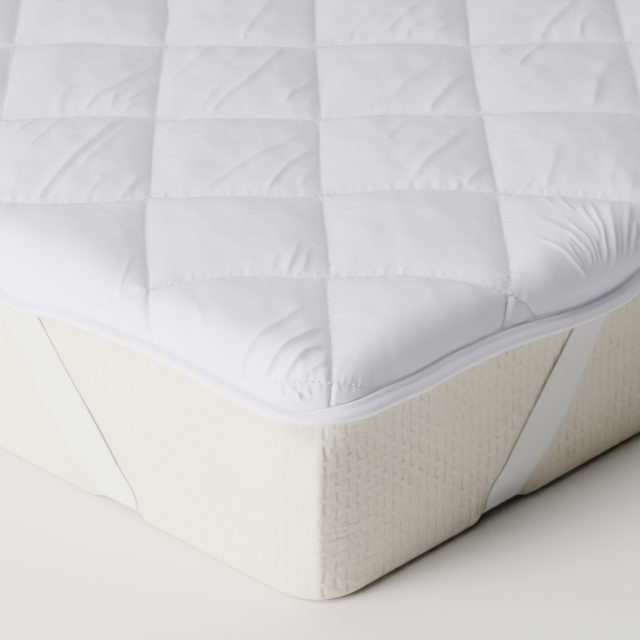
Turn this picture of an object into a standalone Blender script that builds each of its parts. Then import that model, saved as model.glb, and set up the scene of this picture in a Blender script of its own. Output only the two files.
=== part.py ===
"""A quilted mattress topper with a bound rim and elastic corner straps, on its mattress.

Metres, +Z up. The origin is at the middle of the mattress's underside, +Y runs along
the mattress. "front" is -Y and "right" is +X.
"""

import math

import bmesh
import bpy
from mathutils import Vector
from mathutils.geometry import delaunay_2d_cdt

GAP = 0.0003  # between pieces that touch

# Mattress
MATTRESS_WIDTH = 0.900
MATTRESS_LENGTH = 1.900
MATTRESS_THICKNESS = 0.170
PLAN_RADIUS = 0.040  # of its corners, seen from above
TOP_RADIUS = 0.018  # of its upper edge
BOTTOM_RADIUS = 0.008  # of its lower edge
PLAN_TURNS = 8
EDGE_TURNS = 5

# Quilting, in flat cloth: two families of seams at 45 degrees to the edges
COLUMN_PITCH = 0.120  # between the seams that run toward the rear left
ROW_PITCH = 0.132  # between the seams that run toward the rear right
NODE = Vector((0.4468, -0.9332))  # where two seams cross, by the front right corner
STITCH_HEIGHT = 0.0050  # the outer face over the mattress, along a seam
CROWN_HEIGHT = 0.0145  # and at the middle of a cell
CELL_STEPS = 4  # mesh steps across a cell

# The pad's fall over the mattress's edge
PAD_CLEARANCE = 0.0020  # under it, past the flat top
RIM_HEIGHT = 0.0070  # its outer face over the mattress, at the raw edge
RIM_TAPER = 0.030  # the width over which the crowns fade into the rim
RIM_STEPS = 5  # mesh steps down the fall
RIM_SPACING = 0.025  # mesh steps along the rim

# Length of that fall along the cloth: shortest at the corners, a little more between
# them, and drawn down where the straps pull
FALL_AT_CORNER = 0.027
CORNER_REACH = 0.060
FALL_ALONG = {"end": 0.0285, "side": 0.031}
SAGS = (
    # face, distance from the corner, reach to each side, extra fall
    ("end", 0.318, 0.052, 0.0135),
    ("end", 0.095, 0.040, 0.0030),
    ("side", 0.277, 0.076, 0.0150),
    ("side", 0.560, 0.110, 0.0020),
    ("side", 0.830, 0.090, -0.0015),
)

# Binding, an oval roll
BINDING_DEPTH = 0.0195
BINDING_THICKNESS = 0.0080
BINDING_SIDES = 8

# Straps
STRAP_WIDTH = 0.040
STRAP_THICKNESS = 0.0012
STRAP_OFF_FACE = 0.0008  # from the mattress's upright face
STRAP_PRESS_EDGE = 0.0050  # how far it presses into the mattress's lower edge
STRAP_PRESS_UNDER = 0.0018  # and into its underside
STRAP_SLANT = math.radians(39.4)  # from the vertical, toward the corner
STRAP_ANCHOR_END = 0.286  # from the corner, where it leaves the rim of the short end
STRAP_ANCHOR_SIDE = 0.276  # and of the long side
STRAP_ANCHOR_HEIGHT = 0.122
STRAP_TOP = 0.138  # its sewn end, behind the binding
PRESS_RUNS_OUT = 0.042  # the height at which it no longer presses in
PRESS_EASES = 0.024  # the way in under the mattress over which it presses less
PRESS_STEPS = 5
BEND_STEPS = 5
EASE_STEPS = 3
UNDER_STEPS = 7
PRESS_SIDE_ROOM = 0.0012  # beside the strap, in the pressed-in groove
GROOVE_REACH = 0.009  # how far the cutter for it stands out past the strap

HALF_WIDTH = MATTRESS_WIDTH / 2
HALF_LENGTH = MATTRESS_LENGTH / 2
CORE_X = HALF_WIDTH - PLAN_RADIUS
CORE_Y = HALF_LENGTH - PLAN_RADIUS
FLAT_RADIUS = PLAN_RADIUS - TOP_RADIUS  # of the flat top's outline, at its corners
MID_RADIUS = TOP_RADIUS + 0.004  # the fall is measured along the pad's middle
EDGE_ARC = MID_RADIUS * math.pi / 2
LOWER_ARC = BOTTOM_RADIUS * math.pi / 2

ROW_WAY = Vector((1.0, 1.0)).normalized()
COLUMN_WAY = Vector((-1.0, 1.0)).normalized()

# The corners of the bed, as the signs of x and y
CORNERS = {
    "front_right": (1, -1),
    "front_left": (-1, -1),
    "rear_right": (1, 1),
    "rear_left": (-1, 1),
}


def clear_scene():
    for ob in list(bpy.data.objects):
        bpy.data.objects.remove(ob, do_unlink=True)


def smooth(x):
    x = max(0.0, min(1.0, x))
    return x * x * (3 - 2 * x)


def make_material(name, colour, roughness):
    mat = bpy.data.materials.new(name)
    mat.use_nodes = True
    shader = mat.node_tree.nodes["Principled BSDF"]
    shader.inputs["Base Color"].default_value = (*colour, 1.0)
    shader.inputs["Roughness"].default_value = roughness
    shader.inputs["Metallic"].default_value = 0.0
    return mat


def make_object(name, points, faces, mat, sharp=80):
    """A closed body from points and faces, with its faces turned outward."""
    mesh = bpy.data.meshes.new(name)
    mesh.from_pydata(points, [], faces)
    bm = bmesh.new()
    bm.from_mesh(mesh)
    bmesh.ops.recalc_face_normals(bm, faces=bm.faces)
    bm.to_mesh(mesh)
    bm.free()
    mesh.materials.append(mat)
    mesh.shade_smooth()
    mesh.set_sharp_from_angle(angle=math.radians(sharp))
    ob = bpy.data.objects.new(name, mesh)
    bpy.context.scene.collection.objects.link(ob)
    return ob


# ---- the shape that the cloth falls over


def past_edge(u, v):
    """How far a point of the flat cloth lies past the flat top, and the way outward."""
    core = Vector((max(-CORE_X, min(CORE_X, u)), max(-CORE_Y, min(CORE_Y, v))))
    away = Vector((u, v)) - core
    if away.length < 1e-9:
        return -FLAT_RADIUS, Vector((0.0, 0.0)), core
    return away.length - FLAT_RADIUS, away.normalized(), core


def lay(u, v, height):
    """Lays a point of the flat cloth over the mattress, at a height from its surface."""
    past, out, core = past_edge(u, v)
    if past <= 0:
        return Vector((u, v, MATTRESS_THICKNESS + height))
    bend = min(past / MID_RADIUS, math.pi / 2)
    drop = max(0.0, past - EDGE_ARC)
    radius = TOP_RADIUS + height
    flat = core + out * (FLAT_RADIUS + radius * math.sin(bend))
    z = MATTRESS_THICKNESS - TOP_RADIUS + radius * math.cos(bend) - drop
    return Vector((flat.x, flat.y, z))


def fall_at(core, out):
    """The cloth's length over the edge, at this place round the rim."""
    rim = core + out * PLAN_RADIUS
    along_end = HALF_WIDTH - abs(rim.x)
    along_side = HALF_LENGTH - abs(rim.y)
    from_corner = max(along_end, along_side)
    here = "end" if along_end > along_side else "side"
    near = math.exp(-((from_corner / CORNER_REACH) ** 2))
    length = FALL_ALONG[here] + (FALL_AT_CORNER - FALL_ALONG[here]) * near
    for face, centre, reach, extra in SAGS:
        if face == here:
            length += extra * math.exp(-(((from_corner - centre) / reach) ** 2))
    return length


def rim_stations():
    """Places round the flat top's outline, each with its way outward."""
    stations = []
    corners = ((-1, -1), (1, -1), (1, 1), (-1, 1))
    turns = max(4, round(math.pi / 2 * (FLAT_RADIUS + FALL_AT_CORNER) / 0.012))
    for side, (sx, sy) in enumerate(corners):
        angle = (side - 1) * math.pi / 2
        run = 2 * CORE_X if side % 2 == 0 else 2 * CORE_Y
        start = Vector((sx * CORE_X, sy * CORE_Y))
        out = Vector((math.cos(angle), math.sin(angle)))
        along = Vector((-out.y, out.x))
        steps = round(run / RIM_SPACING)
        for k in range(steps):
            stations.append((start + along * (run * k / steps), out.copy()))
        for k in range(turns):
            turn = angle + math.pi / 2 * k / turns
            way = Vector((math.cos(turn), math.sin(turn)))
            stations.append((start + along * run, way))
    return stations


# ---- quilted pad


def in_cells(p):
    """Where a point lies in the quilting, counted in cells along rows and columns."""
    rel = p - NODE
    return rel.dot(ROW_WAY) / COLUMN_PITCH, rel.dot(COLUMN_WAY) / ROW_PITCH


def puff(p):
    """From 0 on a seam to 1 at the middle of a cell."""
    across, along = in_cells(p)
    return abs(math.sin(math.pi * across) * math.sin(math.pi * along)) ** 0.55


def outer_height(p):
    """The height of the pad's outer face over the mattress."""
    past, out, core = past_edge(p.x, p.y)
    lift = STITCH_HEIGHT + (CROWN_HEIGHT - STITCH_HEIGHT) * puff(p)
    if past <= 0:
        return lift
    fade = smooth((fall_at(core, out) - past) / RIM_TAPER)
    return RIM_HEIGHT + (lift - RIM_HEIGHT) * fade


def flat_ring(stations, share):
    """The flat cloth's points at a share of the fall, 1 at the raw edge."""
    ring = []
    for core, out in stations:
        ring.append(core + out * (FLAT_RADIUS + fall_at(core, out) * share))
    return ring


def with_seams(ring):
    """A ring with a point on every seam that crosses it, in place of its neighbour."""
    points = []
    taken = set()
    added = {}
    for i, p in enumerate(ring):
        q = ring[(i + 1) % len(ring)]
        for start, end in zip(in_cells(p), in_cells(q)):
            if math.floor(start) == math.floor(end):
                continue
            share = (max(math.floor(start), math.floor(end)) - start) / (end - start)
            added.setdefault(i, []).append(share)
            if share < 0.35:
                taken.add(i)
            if share > 0.65:
                taken.add((i + 1) % len(ring))
    for i, p in enumerate(ring):
        if i not in taken:
            points.append(p)
        for share in sorted(added.get(i, [])):
            points.append(p.lerp(ring[(i + 1) % len(ring)], share))
    return points


def cell_points():
    """The quilting's own points, over the flat top."""
    points = []
    reach = int((HALF_WIDTH + HALF_LENGTH) * 1.5 / COLUMN_PITCH) * CELL_STEPS
    for i in range(-reach, reach):
        for j in range(-reach, reach):
            p = NODE + ROW_WAY * (COLUMN_PITCH * i / CELL_STEPS)
            p = p + COLUMN_WAY * (ROW_PITCH * j / CELL_STEPS)
            if abs(p.x) < HALF_WIDTH - TOP_RADIUS and abs(p.y) < HALF_LENGTH - TOP_RADIUS:
                inset = min(
                    HALF_WIDTH - TOP_RADIUS - abs(p.x),
                    HALF_LENGTH - TOP_RADIUS - abs(p.y),
                    -past_edge(p.x, p.y)[0],
                )
                if inset > 0.008:
                    points.append(p)
    return points


def build_pad(mat):
    stations = rim_stations()
    count = len(stations)
    flat = flat_ring(stations, 1.0)
    edges = [(i, (i + 1) % count) for i in range(count)]
    for k in range(1, RIM_STEPS + 1):
        flat += with_seams(flat_ring(stations, 1 - k / RIM_STEPS))
    flat += cell_points()
    verts, _, triangles, sources, _, _ = delaunay_2d_cdt(flat, edges, [], 1, 1e-6)
    points = []
    raw_edge = {}
    for index, p in enumerate(verts):
        on_rim = [s for s in sources[index] if s < count]
        points.append(lay(p.x, p.y, RIM_HEIGHT if on_rim else outer_height(p)))
        for source in on_rim:
            raw_edge[source] = index
    faces = [list(t) for t in triangles]

    under = []
    for k in range(RIM_STEPS):
        share = 1 - k / (RIM_STEPS - 1)
        clear = GAP + (PAD_CLEARANCE - GAP) * smooth(3 * share)
        under.append([])
        for p in flat_ring(stations, share):
            under[-1].append(len(points))
            points.append(lay(p.x, p.y, clear))
    for i in range(count):
        j = (i + 1) % count
        faces.append([raw_edge[i], raw_edge[j], under[0][j], under[0][i]])
        for outer, inner in zip(under, under[1:]):
            faces.append([outer[i], outer[j], inner[j], inner[i]])
    faces.append(under[-1])
    return make_object("topper_pad", points, faces, mat)


def build_binding(mat):
    """The folded tape round the pad's raw edge, as an oval roll just under it."""
    points = []
    stations = rim_stations()
    for core, out in stations:
        top = fall_at(core, out) + GAP
        for k in range(BINDING_SIDES):
            turn = math.tau * k / BINDING_SIDES
            down = top + BINDING_DEPTH / 2 * (1 - math.cos(turn))
            swell = BINDING_THICKNESS / 2 * (1 + math.sin(turn))
            p = core + out * (FLAT_RADIUS + down)
            points.append(lay(p.x, p.y, PAD_CLEARANCE + GAP + swell))
    faces = []
    total = len(points)
    for i in range(0, total, BINDING_SIDES):
        j = (i + BINDING_SIDES) % total
        for k in range(BINDING_SIDES):
            n = (k + 1) % BINDING_SIDES
            faces.append([i + k, i + n, j + n, j + k])
    return make_object("edge_binding", points, faces, mat)


# ---- straps
#
# A strap is laid out on the mattress's underside spread flat, with the upright faces
# folded down beside it. There a runs in from the long side and b from the short end,
# both from where the lower edge begins to round, so that a negative value lies round
# that edge and up the face.


def wrap_under(a, b, offset):
    """Folds that layout up again round the front right corner's two edges."""

    def fold(run):
        if run >= 0:
            return BOTTOM_RADIUS + run, -offset
        bend = min(-run / BOTTOM_RADIUS, math.pi / 2)
        rise = max(0.0, -run - LOWER_ARC)
        radius = BOTTOM_RADIUS + offset
        inward = BOTTOM_RADIUS - radius * math.sin(bend)
        return inward, BOTTOM_RADIUS - radius * math.cos(bend) + rise

    if b < 0:
        inward, z = fold(b)
        return Vector((HALF_WIDTH - BOTTOM_RADIUS - a, inward - HALF_LENGTH, z))
    inward, z = fold(a)
    return Vector((HALF_WIDTH - inward, BOTTOM_RADIUS + b - HALF_LENGTH, z))


def leg_levels():
    """Levels down one leg of a strap, from its sewn end to just under the mattress."""
    heights = [STRAP_TOP, STRAP_ANCHOR_HEIGHT]
    for k in range(PRESS_STEPS):
        heights.append(PRESS_RUNS_OUT + (BOTTOM_RADIUS - PRESS_RUNS_OUT) * k / PRESS_STEPS)
    levels = [-(LOWER_ARC + z - BOTTOM_RADIUS) for z in heights]
    for k in range(BEND_STEPS):
        levels.append(LOWER_ARC * ((k + 0.5) / BEND_STEPS - 1))
    for k in range(EASE_STEPS):
        levels.append(PRESS_EASES * (k + 1) / EASE_STEPS)
    return levels


def leg_stations(anchor):
    """Cuts across one leg: its near and far edge at each level, and the level."""
    half_cut = STRAP_WIDTH / 2 / math.cos(STRAP_SLANT)
    anchor_level = -(LOWER_ARC + STRAP_ANCHOR_HEIGHT - BOTTOM_RADIUS)
    stations = []
    for level in leg_levels():
        middle = anchor - BOTTOM_RADIUS - (level - anchor_level) * math.tan(STRAP_SLANT)
        stations.append((middle - half_cut, middle + half_cut, level))
    return stations


def bezier(start, start_way, end, end_way, t):
    pull = (end - start).length / 3
    handles = (start, start + start_way * pull, end - end_way * pull, end)
    weights = ((1 - t) ** 3, 3 * t * (1 - t) ** 2, 3 * t * t * (1 - t), t**3)
    return sum((h * w for h, w in zip(handles, weights)), Vector((0.0, 0.0)))


def strap_cuts():
    """Cuts across the whole strap, as (near the corner, far from it, level) points."""
    end_leg = leg_stations(STRAP_ANCHOR_END)
    side_leg = leg_stations(STRAP_ANCHOR_SIDE)
    cuts = [(Vector((n, b)), Vector((f, b)), b) for n, f, b in end_leg]
    down = Vector((-math.sin(STRAP_SLANT), math.cos(STRAP_SLANT)))
    up = Vector((-math.cos(STRAP_SLANT), math.sin(STRAP_SLANT)))
    near_end, far_end = cuts[-1][0], cuts[-1][1]
    near_side = Vector((side_leg[-1][2], side_leg[-1][0]))
    far_side = Vector((side_leg[-1][2], side_leg[-1][1]))
    for k in range(1, UNDER_STEPS):
        t = k / UNDER_STEPS
        near = bezier(near_end, down, near_side, up, t)
        far = bezier(far_end, down, far_side, up, t)
        cuts.append((near, far, PRESS_EASES))
    cuts += [(Vector((a, n)), Vector((a, f)), a) for n, f, a in reversed(side_leg)]
    return cuts


def strap_rest(level):
    """The strap's inner face over the mattress's surface: below 0 is pressed in."""
    if level > 0:
        ease = smooth(level / PRESS_EASES)
        return -STRAP_PRESS_EDGE + (STRAP_PRESS_EDGE - STRAP_PRESS_UNDER) * ease
    up_face = max(0.0, -level - LOWER_ARC)
    off = smooth(up_face / (PRESS_RUNS_OUT - BOTTOM_RADIUS))
    return -STRAP_PRESS_EDGE + (STRAP_PRESS_EDGE + STRAP_OFF_FACE) * off


def band(corner, side_room, inner, outer):
    """Points and faces of a flat band on the strap's route, round one corner."""
    sx, sy = corner
    points = []
    cuts = strap_cuts()
    for near, far, level in cuts:
        room = (far - near).normalized() * side_room
        rest = strap_rest(level)
        for p, offset in (
            (near - room, rest + inner),
            (far + room, rest + inner),
            (far + room, rest + outer),
            (near - room, rest + outer),
        ):
            spot = wrap_under(p.x, p.y, offset)
            points.append(Vector((spot.x * sx, spot.y * -sy, spot.z)))
    faces = [[0, 1, 2, 3]]
    for i in range(0, len(points) - 4, 4):
        for k in range(4):
            n = (k + 1) % 4
            faces.append([i + k, i + n, i + n + 4, i + k + 4])
    last = len(points) - 4
    faces.append([last, last + 1, last + 2, last + 3])
    return points, faces


def build_straps(mat):
    for name, corner in CORNERS.items():
        points, faces = band(corner, 0.0, 0.0, STRAP_THICKNESS)
        make_object("strap_" + name, points, faces, mat, sharp=30)


# ---- mattress


def mattress_rings():
    """How far in from the plan outline, and how high, from the underside up."""
    rings = []
    for k in range(EDGE_TURNS + 1):
        bend = math.pi / 2 * k / EDGE_TURNS
        inset = BOTTOM_RADIUS * (1 - math.sin(bend))
        rings.append((inset, BOTTOM_RADIUS * (1 - math.cos(bend))))
    for k in range(EDGE_TURNS + 1):
        bend = math.pi / 2 * k / EDGE_TURNS
        inset = TOP_RADIUS * (1 - math.cos(bend))
        rings.append((inset, MATTRESS_THICKNESS - TOP_RADIUS * (1 - math.sin(bend))))
    return rings


def build_mattress(mat):
    """A rounded block, pressed in along the straps' routes."""
    points = []
    for inset, z in mattress_rings():
        for quarter, (sx, sy) in enumerate(((1, -1), (1, 1), (-1, 1), (-1, -1))):
            for k in range(PLAN_TURNS + 1):
                turn = math.pi / 2 * (quarter - 1 + k / PLAN_TURNS)
                x = sx * CORE_X + (PLAN_RADIUS - inset) * math.cos(turn)
                y = sy * CORE_Y + (PLAN_RADIUS - inset) * math.sin(turn)
                points.append((x, y, z))
    count = 4 * (PLAN_TURNS + 1)
    faces = [list(range(count)), list(range(len(points) - count, len(points)))]
    for a in range(0, len(points) - count, count):
        for i in range(count):
            j = (i + 1) % count
            faces.append([a + i, a + j, a + j + count, a + i + count])
    ob = make_object("mattress", points, faces, mat, sharp=50)
    groove_points = []
    groove_faces = []
    for corner in CORNERS.values():
        more_points, more_faces = band(corner, PRESS_SIDE_ROOM, -GAP, GROOVE_REACH)
        start = len(groove_points)
        groove_points += more_points
        groove_faces += [[start + i for i in face] for face in more_faces]
    cutter = make_object("strap_grooves", groove_points, groove_faces, mat)
    cutter.hide_render = True
    cutter.display_type = "WIRE"
    cut = ob.modifiers.new("strap_grooves", "BOOLEAN")
    cut.operation = "DIFFERENCE"
    cut.solver = "EXACT"
    cut.object = cutter
    return ob


def main():
    clear_scene()
    cotton = make_material("quilted cotton", (0.86, 0.87, 0.89), 0.85)
    tape = make_material("binding tape", (0.88, 0.89, 0.90), 0.80)
    elastic = make_material("woven elastic", (0.84, 0.84, 0.82), 0.75)
    knit = make_material("mattress knit", (0.83, 0.81, 0.74), 0.90)
    build_mattress(knit)
    build_pad(cotton)
    build_binding(tape)
    build_straps(elastic)


main()
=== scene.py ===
"""The looks of a quilted mattress topper on its mattress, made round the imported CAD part.

Metres, +Z up, in the part's own frame: the origin is at the middle of the mattress's
underside, +Y runs along it, "front" is -Y and "right" is +X. The photographed corner is
the front right one.

The quilting is laid out in cells. "Across" counts cells toward the rear right and
"along" counts them toward the rear left, both from the stitch crossing nearest to the
photographed corner, so that the camera there looks along the second.

The seams' bends, the rim's fall, the binding's depth, the creases and the pleats follow
the photograph. Their places were picked on it by eye, and scratch scripts with this camera
turned most of them into the cells and millimetres below; build/report.md says which.
"""

import math
import random

import bmesh
import bpy
import numpy as np
from mathutils import Matrix, Vector
from mathutils.geometry import delaunay_2d_cdt

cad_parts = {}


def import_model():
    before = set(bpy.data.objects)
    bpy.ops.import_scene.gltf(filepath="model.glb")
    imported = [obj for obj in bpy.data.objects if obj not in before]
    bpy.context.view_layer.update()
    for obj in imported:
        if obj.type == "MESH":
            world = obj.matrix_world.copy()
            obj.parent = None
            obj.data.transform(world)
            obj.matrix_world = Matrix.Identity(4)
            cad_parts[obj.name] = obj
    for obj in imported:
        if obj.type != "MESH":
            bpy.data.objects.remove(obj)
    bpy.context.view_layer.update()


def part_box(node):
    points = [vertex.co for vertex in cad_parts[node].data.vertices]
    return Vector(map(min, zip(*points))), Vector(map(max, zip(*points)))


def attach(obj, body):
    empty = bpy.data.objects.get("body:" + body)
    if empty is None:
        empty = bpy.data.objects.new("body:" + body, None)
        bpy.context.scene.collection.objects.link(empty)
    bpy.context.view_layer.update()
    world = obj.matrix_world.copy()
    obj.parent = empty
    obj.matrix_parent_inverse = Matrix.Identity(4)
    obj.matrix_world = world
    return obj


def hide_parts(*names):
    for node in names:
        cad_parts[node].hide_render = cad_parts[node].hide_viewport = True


# ---- camera, fitted to the quilt's crossings, the rim and the mattress's lower edge

CAMERA_PLACE = (1.8274, -2.3740, 1.2651)
CAMERA_HEADING = math.radians(44.010)  # turned from +Y toward -X
CAMERA_PITCH = math.radians(27.749)  # below the horizon
CAMERA_ROLL = math.radians(-0.118)
CAMERA_LENS = 198.60  # mm, on a sensor 36 mm wide
SENSOR_WIDTH = 36.0

# ---- the bed that the topper falls over, as in the part's source

GAP = 0.0003  # between pieces that touch
PLAN_RADIUS = 0.040  # of the mattress's corners, seen from above
TOP_RADIUS = 0.018
BOTTOM_RADIUS = 0.008
MID_RADIUS = TOP_RADIUS + 0.004  # the fall is measured along the pad's middle
FLAT_RADIUS = PLAN_RADIUS - TOP_RADIUS
EDGE_ARC = MID_RADIUS * math.pi / 2
LOWER_ARC = BOTTOM_RADIUS * math.pi / 2

# ---- quilting

COLUMN_PITCH = 0.120
ROW_PITCH = 0.132
NODE = np.array((0.4468, -0.9332))  # a stitch crossing by the front right corner
ROW_WAY = np.array((1.0, 1.0)) / math.sqrt(2)
COLUMN_WAY = np.array((-1.0, 1.0)) / math.sqrt(2)
STITCH_HEIGHT = 0.0046  # the outer face over the mattress, along a seam
CROWN_HEIGHT = 0.0150  # and at the middle of a cell
PUFF_FLATNESS = 2.4  # higher is flatter at the crown
PUFF_POWER = 0.54  # lower is steeper beside the seams
COLUMN_WANDER = 0.0008  # how far a seam strays from its line
ROW_WANDER = 0.0013

# Bends of the seams near the photographed corner. A row seam has pairs of cells across and
# cells along by which the seam there lies off its straight line, and a column seam has
# pairs of cells along and cells across.
ROW_BENDS = {
    0: (
        (-0.60, 0.20), (-0.48, 0.135), (-0.40, 0.09), (-0.32, 0.05), (-0.20, 0.01), (0.00, 0.01),
        (0.10, 0.03), (0.20, 0.06), (0.50, 0.16),
    ),
    1: (
        (-1.40, -0.06), (-1.20, -0.07), (-0.98, -0.06), (-0.84, 0.00), (-0.70, 0.03),
        (-0.48, 0.05), (-0.30, 0.035), (-0.14, 0.02), (0.00, 0.035), (0.10, 0.05), (0.40, 0.06),
        (0.50, 0.04), (0.60, 0.02), (0.70, -0.01), (0.80, -0.05), (0.90, -0.08), (1.10, -0.08),
        (1.25, -0.105),
    ),
    2: (
        (-1.95, -0.03), (-1.70, -0.055), (-1.35, -0.07), (-1.15, -0.055), (-1.03, -0.035),
        (-0.97, -0.015), (-0.50, 0.00), (-0.04, 0.01), (0.04, 0.03), (0.30, 0.035), (0.95, 0.025),
        (1.15, 0.01), (1.45, -0.045), (1.65, -0.09), (1.90, -0.15),
    ),
    3: (
        (-1.95, 0.045), (-1.60, 0.05), (-1.03, 0.037), (-0.97, 0.01), (-0.60, 0.015),
        (-0.30, 0.00), (-0.04, -0.02), (0.04, 0.00), (0.35, 0.04), (0.90, 0.027), (1.25, 0.056),
        (1.90, 0.05),
    ),
    4: (
        (-2.00, 0.06), (-1.75, 0.085), (-1.50, 0.09), (-1.05, 0.055), (-0.75, 0.055),
        (-0.25, 0.015), (-0.02, 0.00), (0.10, 0.034), (0.50, 0.04), (1.00, 0.02), (1.50, 0.047),
        (2.00, 0.047),
    ),
}
COLUMN_BENDS = {
    -2: ((3.1, 0.015), (3.4, 0.026), (4.8, 0.03)),
    -1: (
        (0.70, -0.024), (0.85, -0.014), (1.00, -0.011), (1.20, -0.026), (1.33, -0.038),
        (1.55, -0.048), (1.95, -0.053), (2.03, -0.030), (2.60, -0.034), (3.00, -0.022),
        (3.40, -0.013), (3.80, 0.00), (4.20, 0.007), (4.40, 0.024),
    ),
    0: (
        (0.30, 0.00), (0.97, -0.006), (1.03, 0.015), (1.25, 0.008), (1.75, -0.015), (2.20, -0.018),
        (2.95, -0.025), (3.05, -0.012), (4.70, -0.014),
    ),
    1: (
        (0.78, 0.050), (0.84, 0.028), (0.92, 0.018), (1.00, 0.018), (1.12, 0.032), (1.30, 0.034),
        (1.60, 0.020), (1.90, 0.015), (2.04, 0.025), (2.20, 0.015), (2.80, 0.009), (3.10, 0.00),
        (3.40, -0.012), (4.00, -0.006), (4.70, 0.00),
    ),
    2: ((3.9, -0.006), (4.7, -0.012)),
}

# ---- the pad's fall over the mattress's edge

PAD_CLEARANCE = 0.0020
EDGE_SEAM_HEIGHT = 0.0062  # the outer face over the mattress, where the binding is sewn
EDGE_CURL = 0.0018  # the width over which the pad curls in to that seam
RIM_TAPER = 0.040  # the width over which its filling thins toward it, at the usual fall
RIM_ROUNDNESS = 0.90
USUAL_FALL = 0.033
FALL_EASING = (-5, -2.5, 0, 2.5, 5)  # millimetres along the rim, over which it is averaged

# The cloth's length over the mattress's edge, as (distance from the nearest corner,
# length), both in millimetres, along a short end and along a long side. The straps draw
# it down, most of all where they are sewn.
FALL_ALONG_END = (
    (12, 34.8), (20, 37.2), (26, 36.8), (32, 36.0), (40, 35.3), (75, 34.8), (105, 33.4),
    (150, 32.8), (180, 34.2), (222, 37.2), (242, 39.4), (258, 43.6), (273, 47.6), (288, 49.2),
    (302, 47.0), (322, 40.5), (345, 35.5), (390, 32.0),
)
FALL_ALONG_SIDE = (
    (12, 34.8), (18, 33.2), (28, 32.2), (54, 32.2), (73, 33.8), (92, 34.2), (122, 32.9),
    (152, 33.9), (172, 35.2), (193, 38.1), (214, 41.4), (235, 45.2), (256, 48.4), (277, 49.2),
    (299, 47.9), (318, 42.5), (340, 37.5), (400, 33.0), (560, 33.8), (830, 32.0),
)

# ---- binding, a soft roll. Its outer face as (share of its depth, height over the
# mattress in millimetres): at a short end it stands out like a ledge, and along the sides
# it has a sewn lip. Its depth as (distance from the nearest corner, depth), in millimetres.

BINDING_LEDGE = (
    (0.000, 3.9), (0.012, 6.5), (0.030, 9.0), (0.070, 10.8), (0.130, 12.0), (0.210, 12.7),
    (0.330, 13.1), (0.480, 13.1), (0.640, 12.8), (0.780, 12.2), (0.880, 11.4), (0.950, 10.2),
    (0.985, 8.8), (1.000, 7.0),
)
BINDING_LIP = (
    (0.000, 6.0), (0.020, 7.3), (0.060, 8.3), (0.110, 8.7), (0.150, 9.2), (0.200, 10.7),
    (0.260, 12.3), (0.330, 13.5), (0.410, 14.2), (0.500, 14.4), (0.600, 14.0), (0.720, 12.8),
    (0.830, 11.2), (0.910, 9.7), (0.945, 9.0), (0.960, 9.3), (0.985, 9.0), (1.000, 7.0),
)
DEPTH_ALONG_END = (
    (12, 10.3), (20, 8.4), (29, 8.8), (40, 10.8), (61, 12.0), (75, 12.0), (99, 10.0), (147, 9.3),
    (196, 8.6), (236, 8.6), (267, 7.0), (290, 7.0), (330, 9.0), (400, 11.0),
)
DEPTH_ALONG_SIDE = (
    (12, 10.3), (18, 11.8), (27, 13.2), (40, 15.0), (117, 16.2), (188, 14.7), (240, 13.2),
    (275, 12.6), (310, 15.5), (400, 16.0),
)
BINDING_BACK = (0.99, 0.90, 0.70, 0.45, 0.20, 0.03)
BINDING_BACK_CLEAR = 0.0008  # from the mattress
BINDING_STITCH = 0.13  # share of the depth at which it is topstitched
TAPE_STITCH_PITCH = 0.0034
DEPTH_WANDER = 0.0003
THICKNESS_WANDER = 0.04  # as a share
FACE_WAVER = 0.00016
LIP_BEGINS = 0.35  # radians round the corner from the short end
LIP_EASES = 0.8
OVER_STRAP = 0.046  # from a strap's middle, where the tape's back stands clear of it
OVER_STRAP_EASES = 0.016

# ---- straps

STRAP_WIDTH = 0.040
STRAP_THICKNESS = 0.0012
STRAP_OFF_FACE = 0.0008
STRAP_PRESS_EDGE = 0.0050
STRAP_PRESS_UNDER = 0.0018
STRAP_SLANT = math.radians(39.4)
STRAP_ANCHOR_END = 0.286
STRAP_ANCHOR_SIDE = 0.278
STRAP_ANCHOR_HEIGHT = 0.122
STRAP_TOP = 0.138
GATHER_BEGINS = 0.055  # up the mattress's face
GATHER_EASES = 0.070
GATHER_END = (0.0040, 0.0020)  # from the edge near the corner, and from the far one
GATHER_SIDE = (0.0028, 0.0100)
PRESS_RUNS_OUT = 0.042  # the height over the floor up to which it is pressed in
PRESSED_FROM = 0.039  # and that of the first cut below
PRESS_EASES = 0.024  # the width under the mattress over which the press grows less
FOOT_TUCK = 0.024  # by which the mattress swells over a leg's near edge, at its lower edge
TUCK_BEGINS = 0.038  # up the mattress's face
TUCK_EASES = 0.048
PRESS_SPREAD = 0.010  # the width over which the pressed-in face comes out again

CORNERS = {
    "front_right": (1, -1),
    "front_left": (-1, -1),
    "rear_right": (1, 1),
    "rear_left": (-1, 1),
}

# ---- creases in the pad's cloth near the photographed corner, in cells
#
# Each runs from its lower end through its points. The cloth stands up to a crest on the
# side nearer the camera's left and drops to a trough on the other. Height and half width
# are in millimetres.

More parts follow.
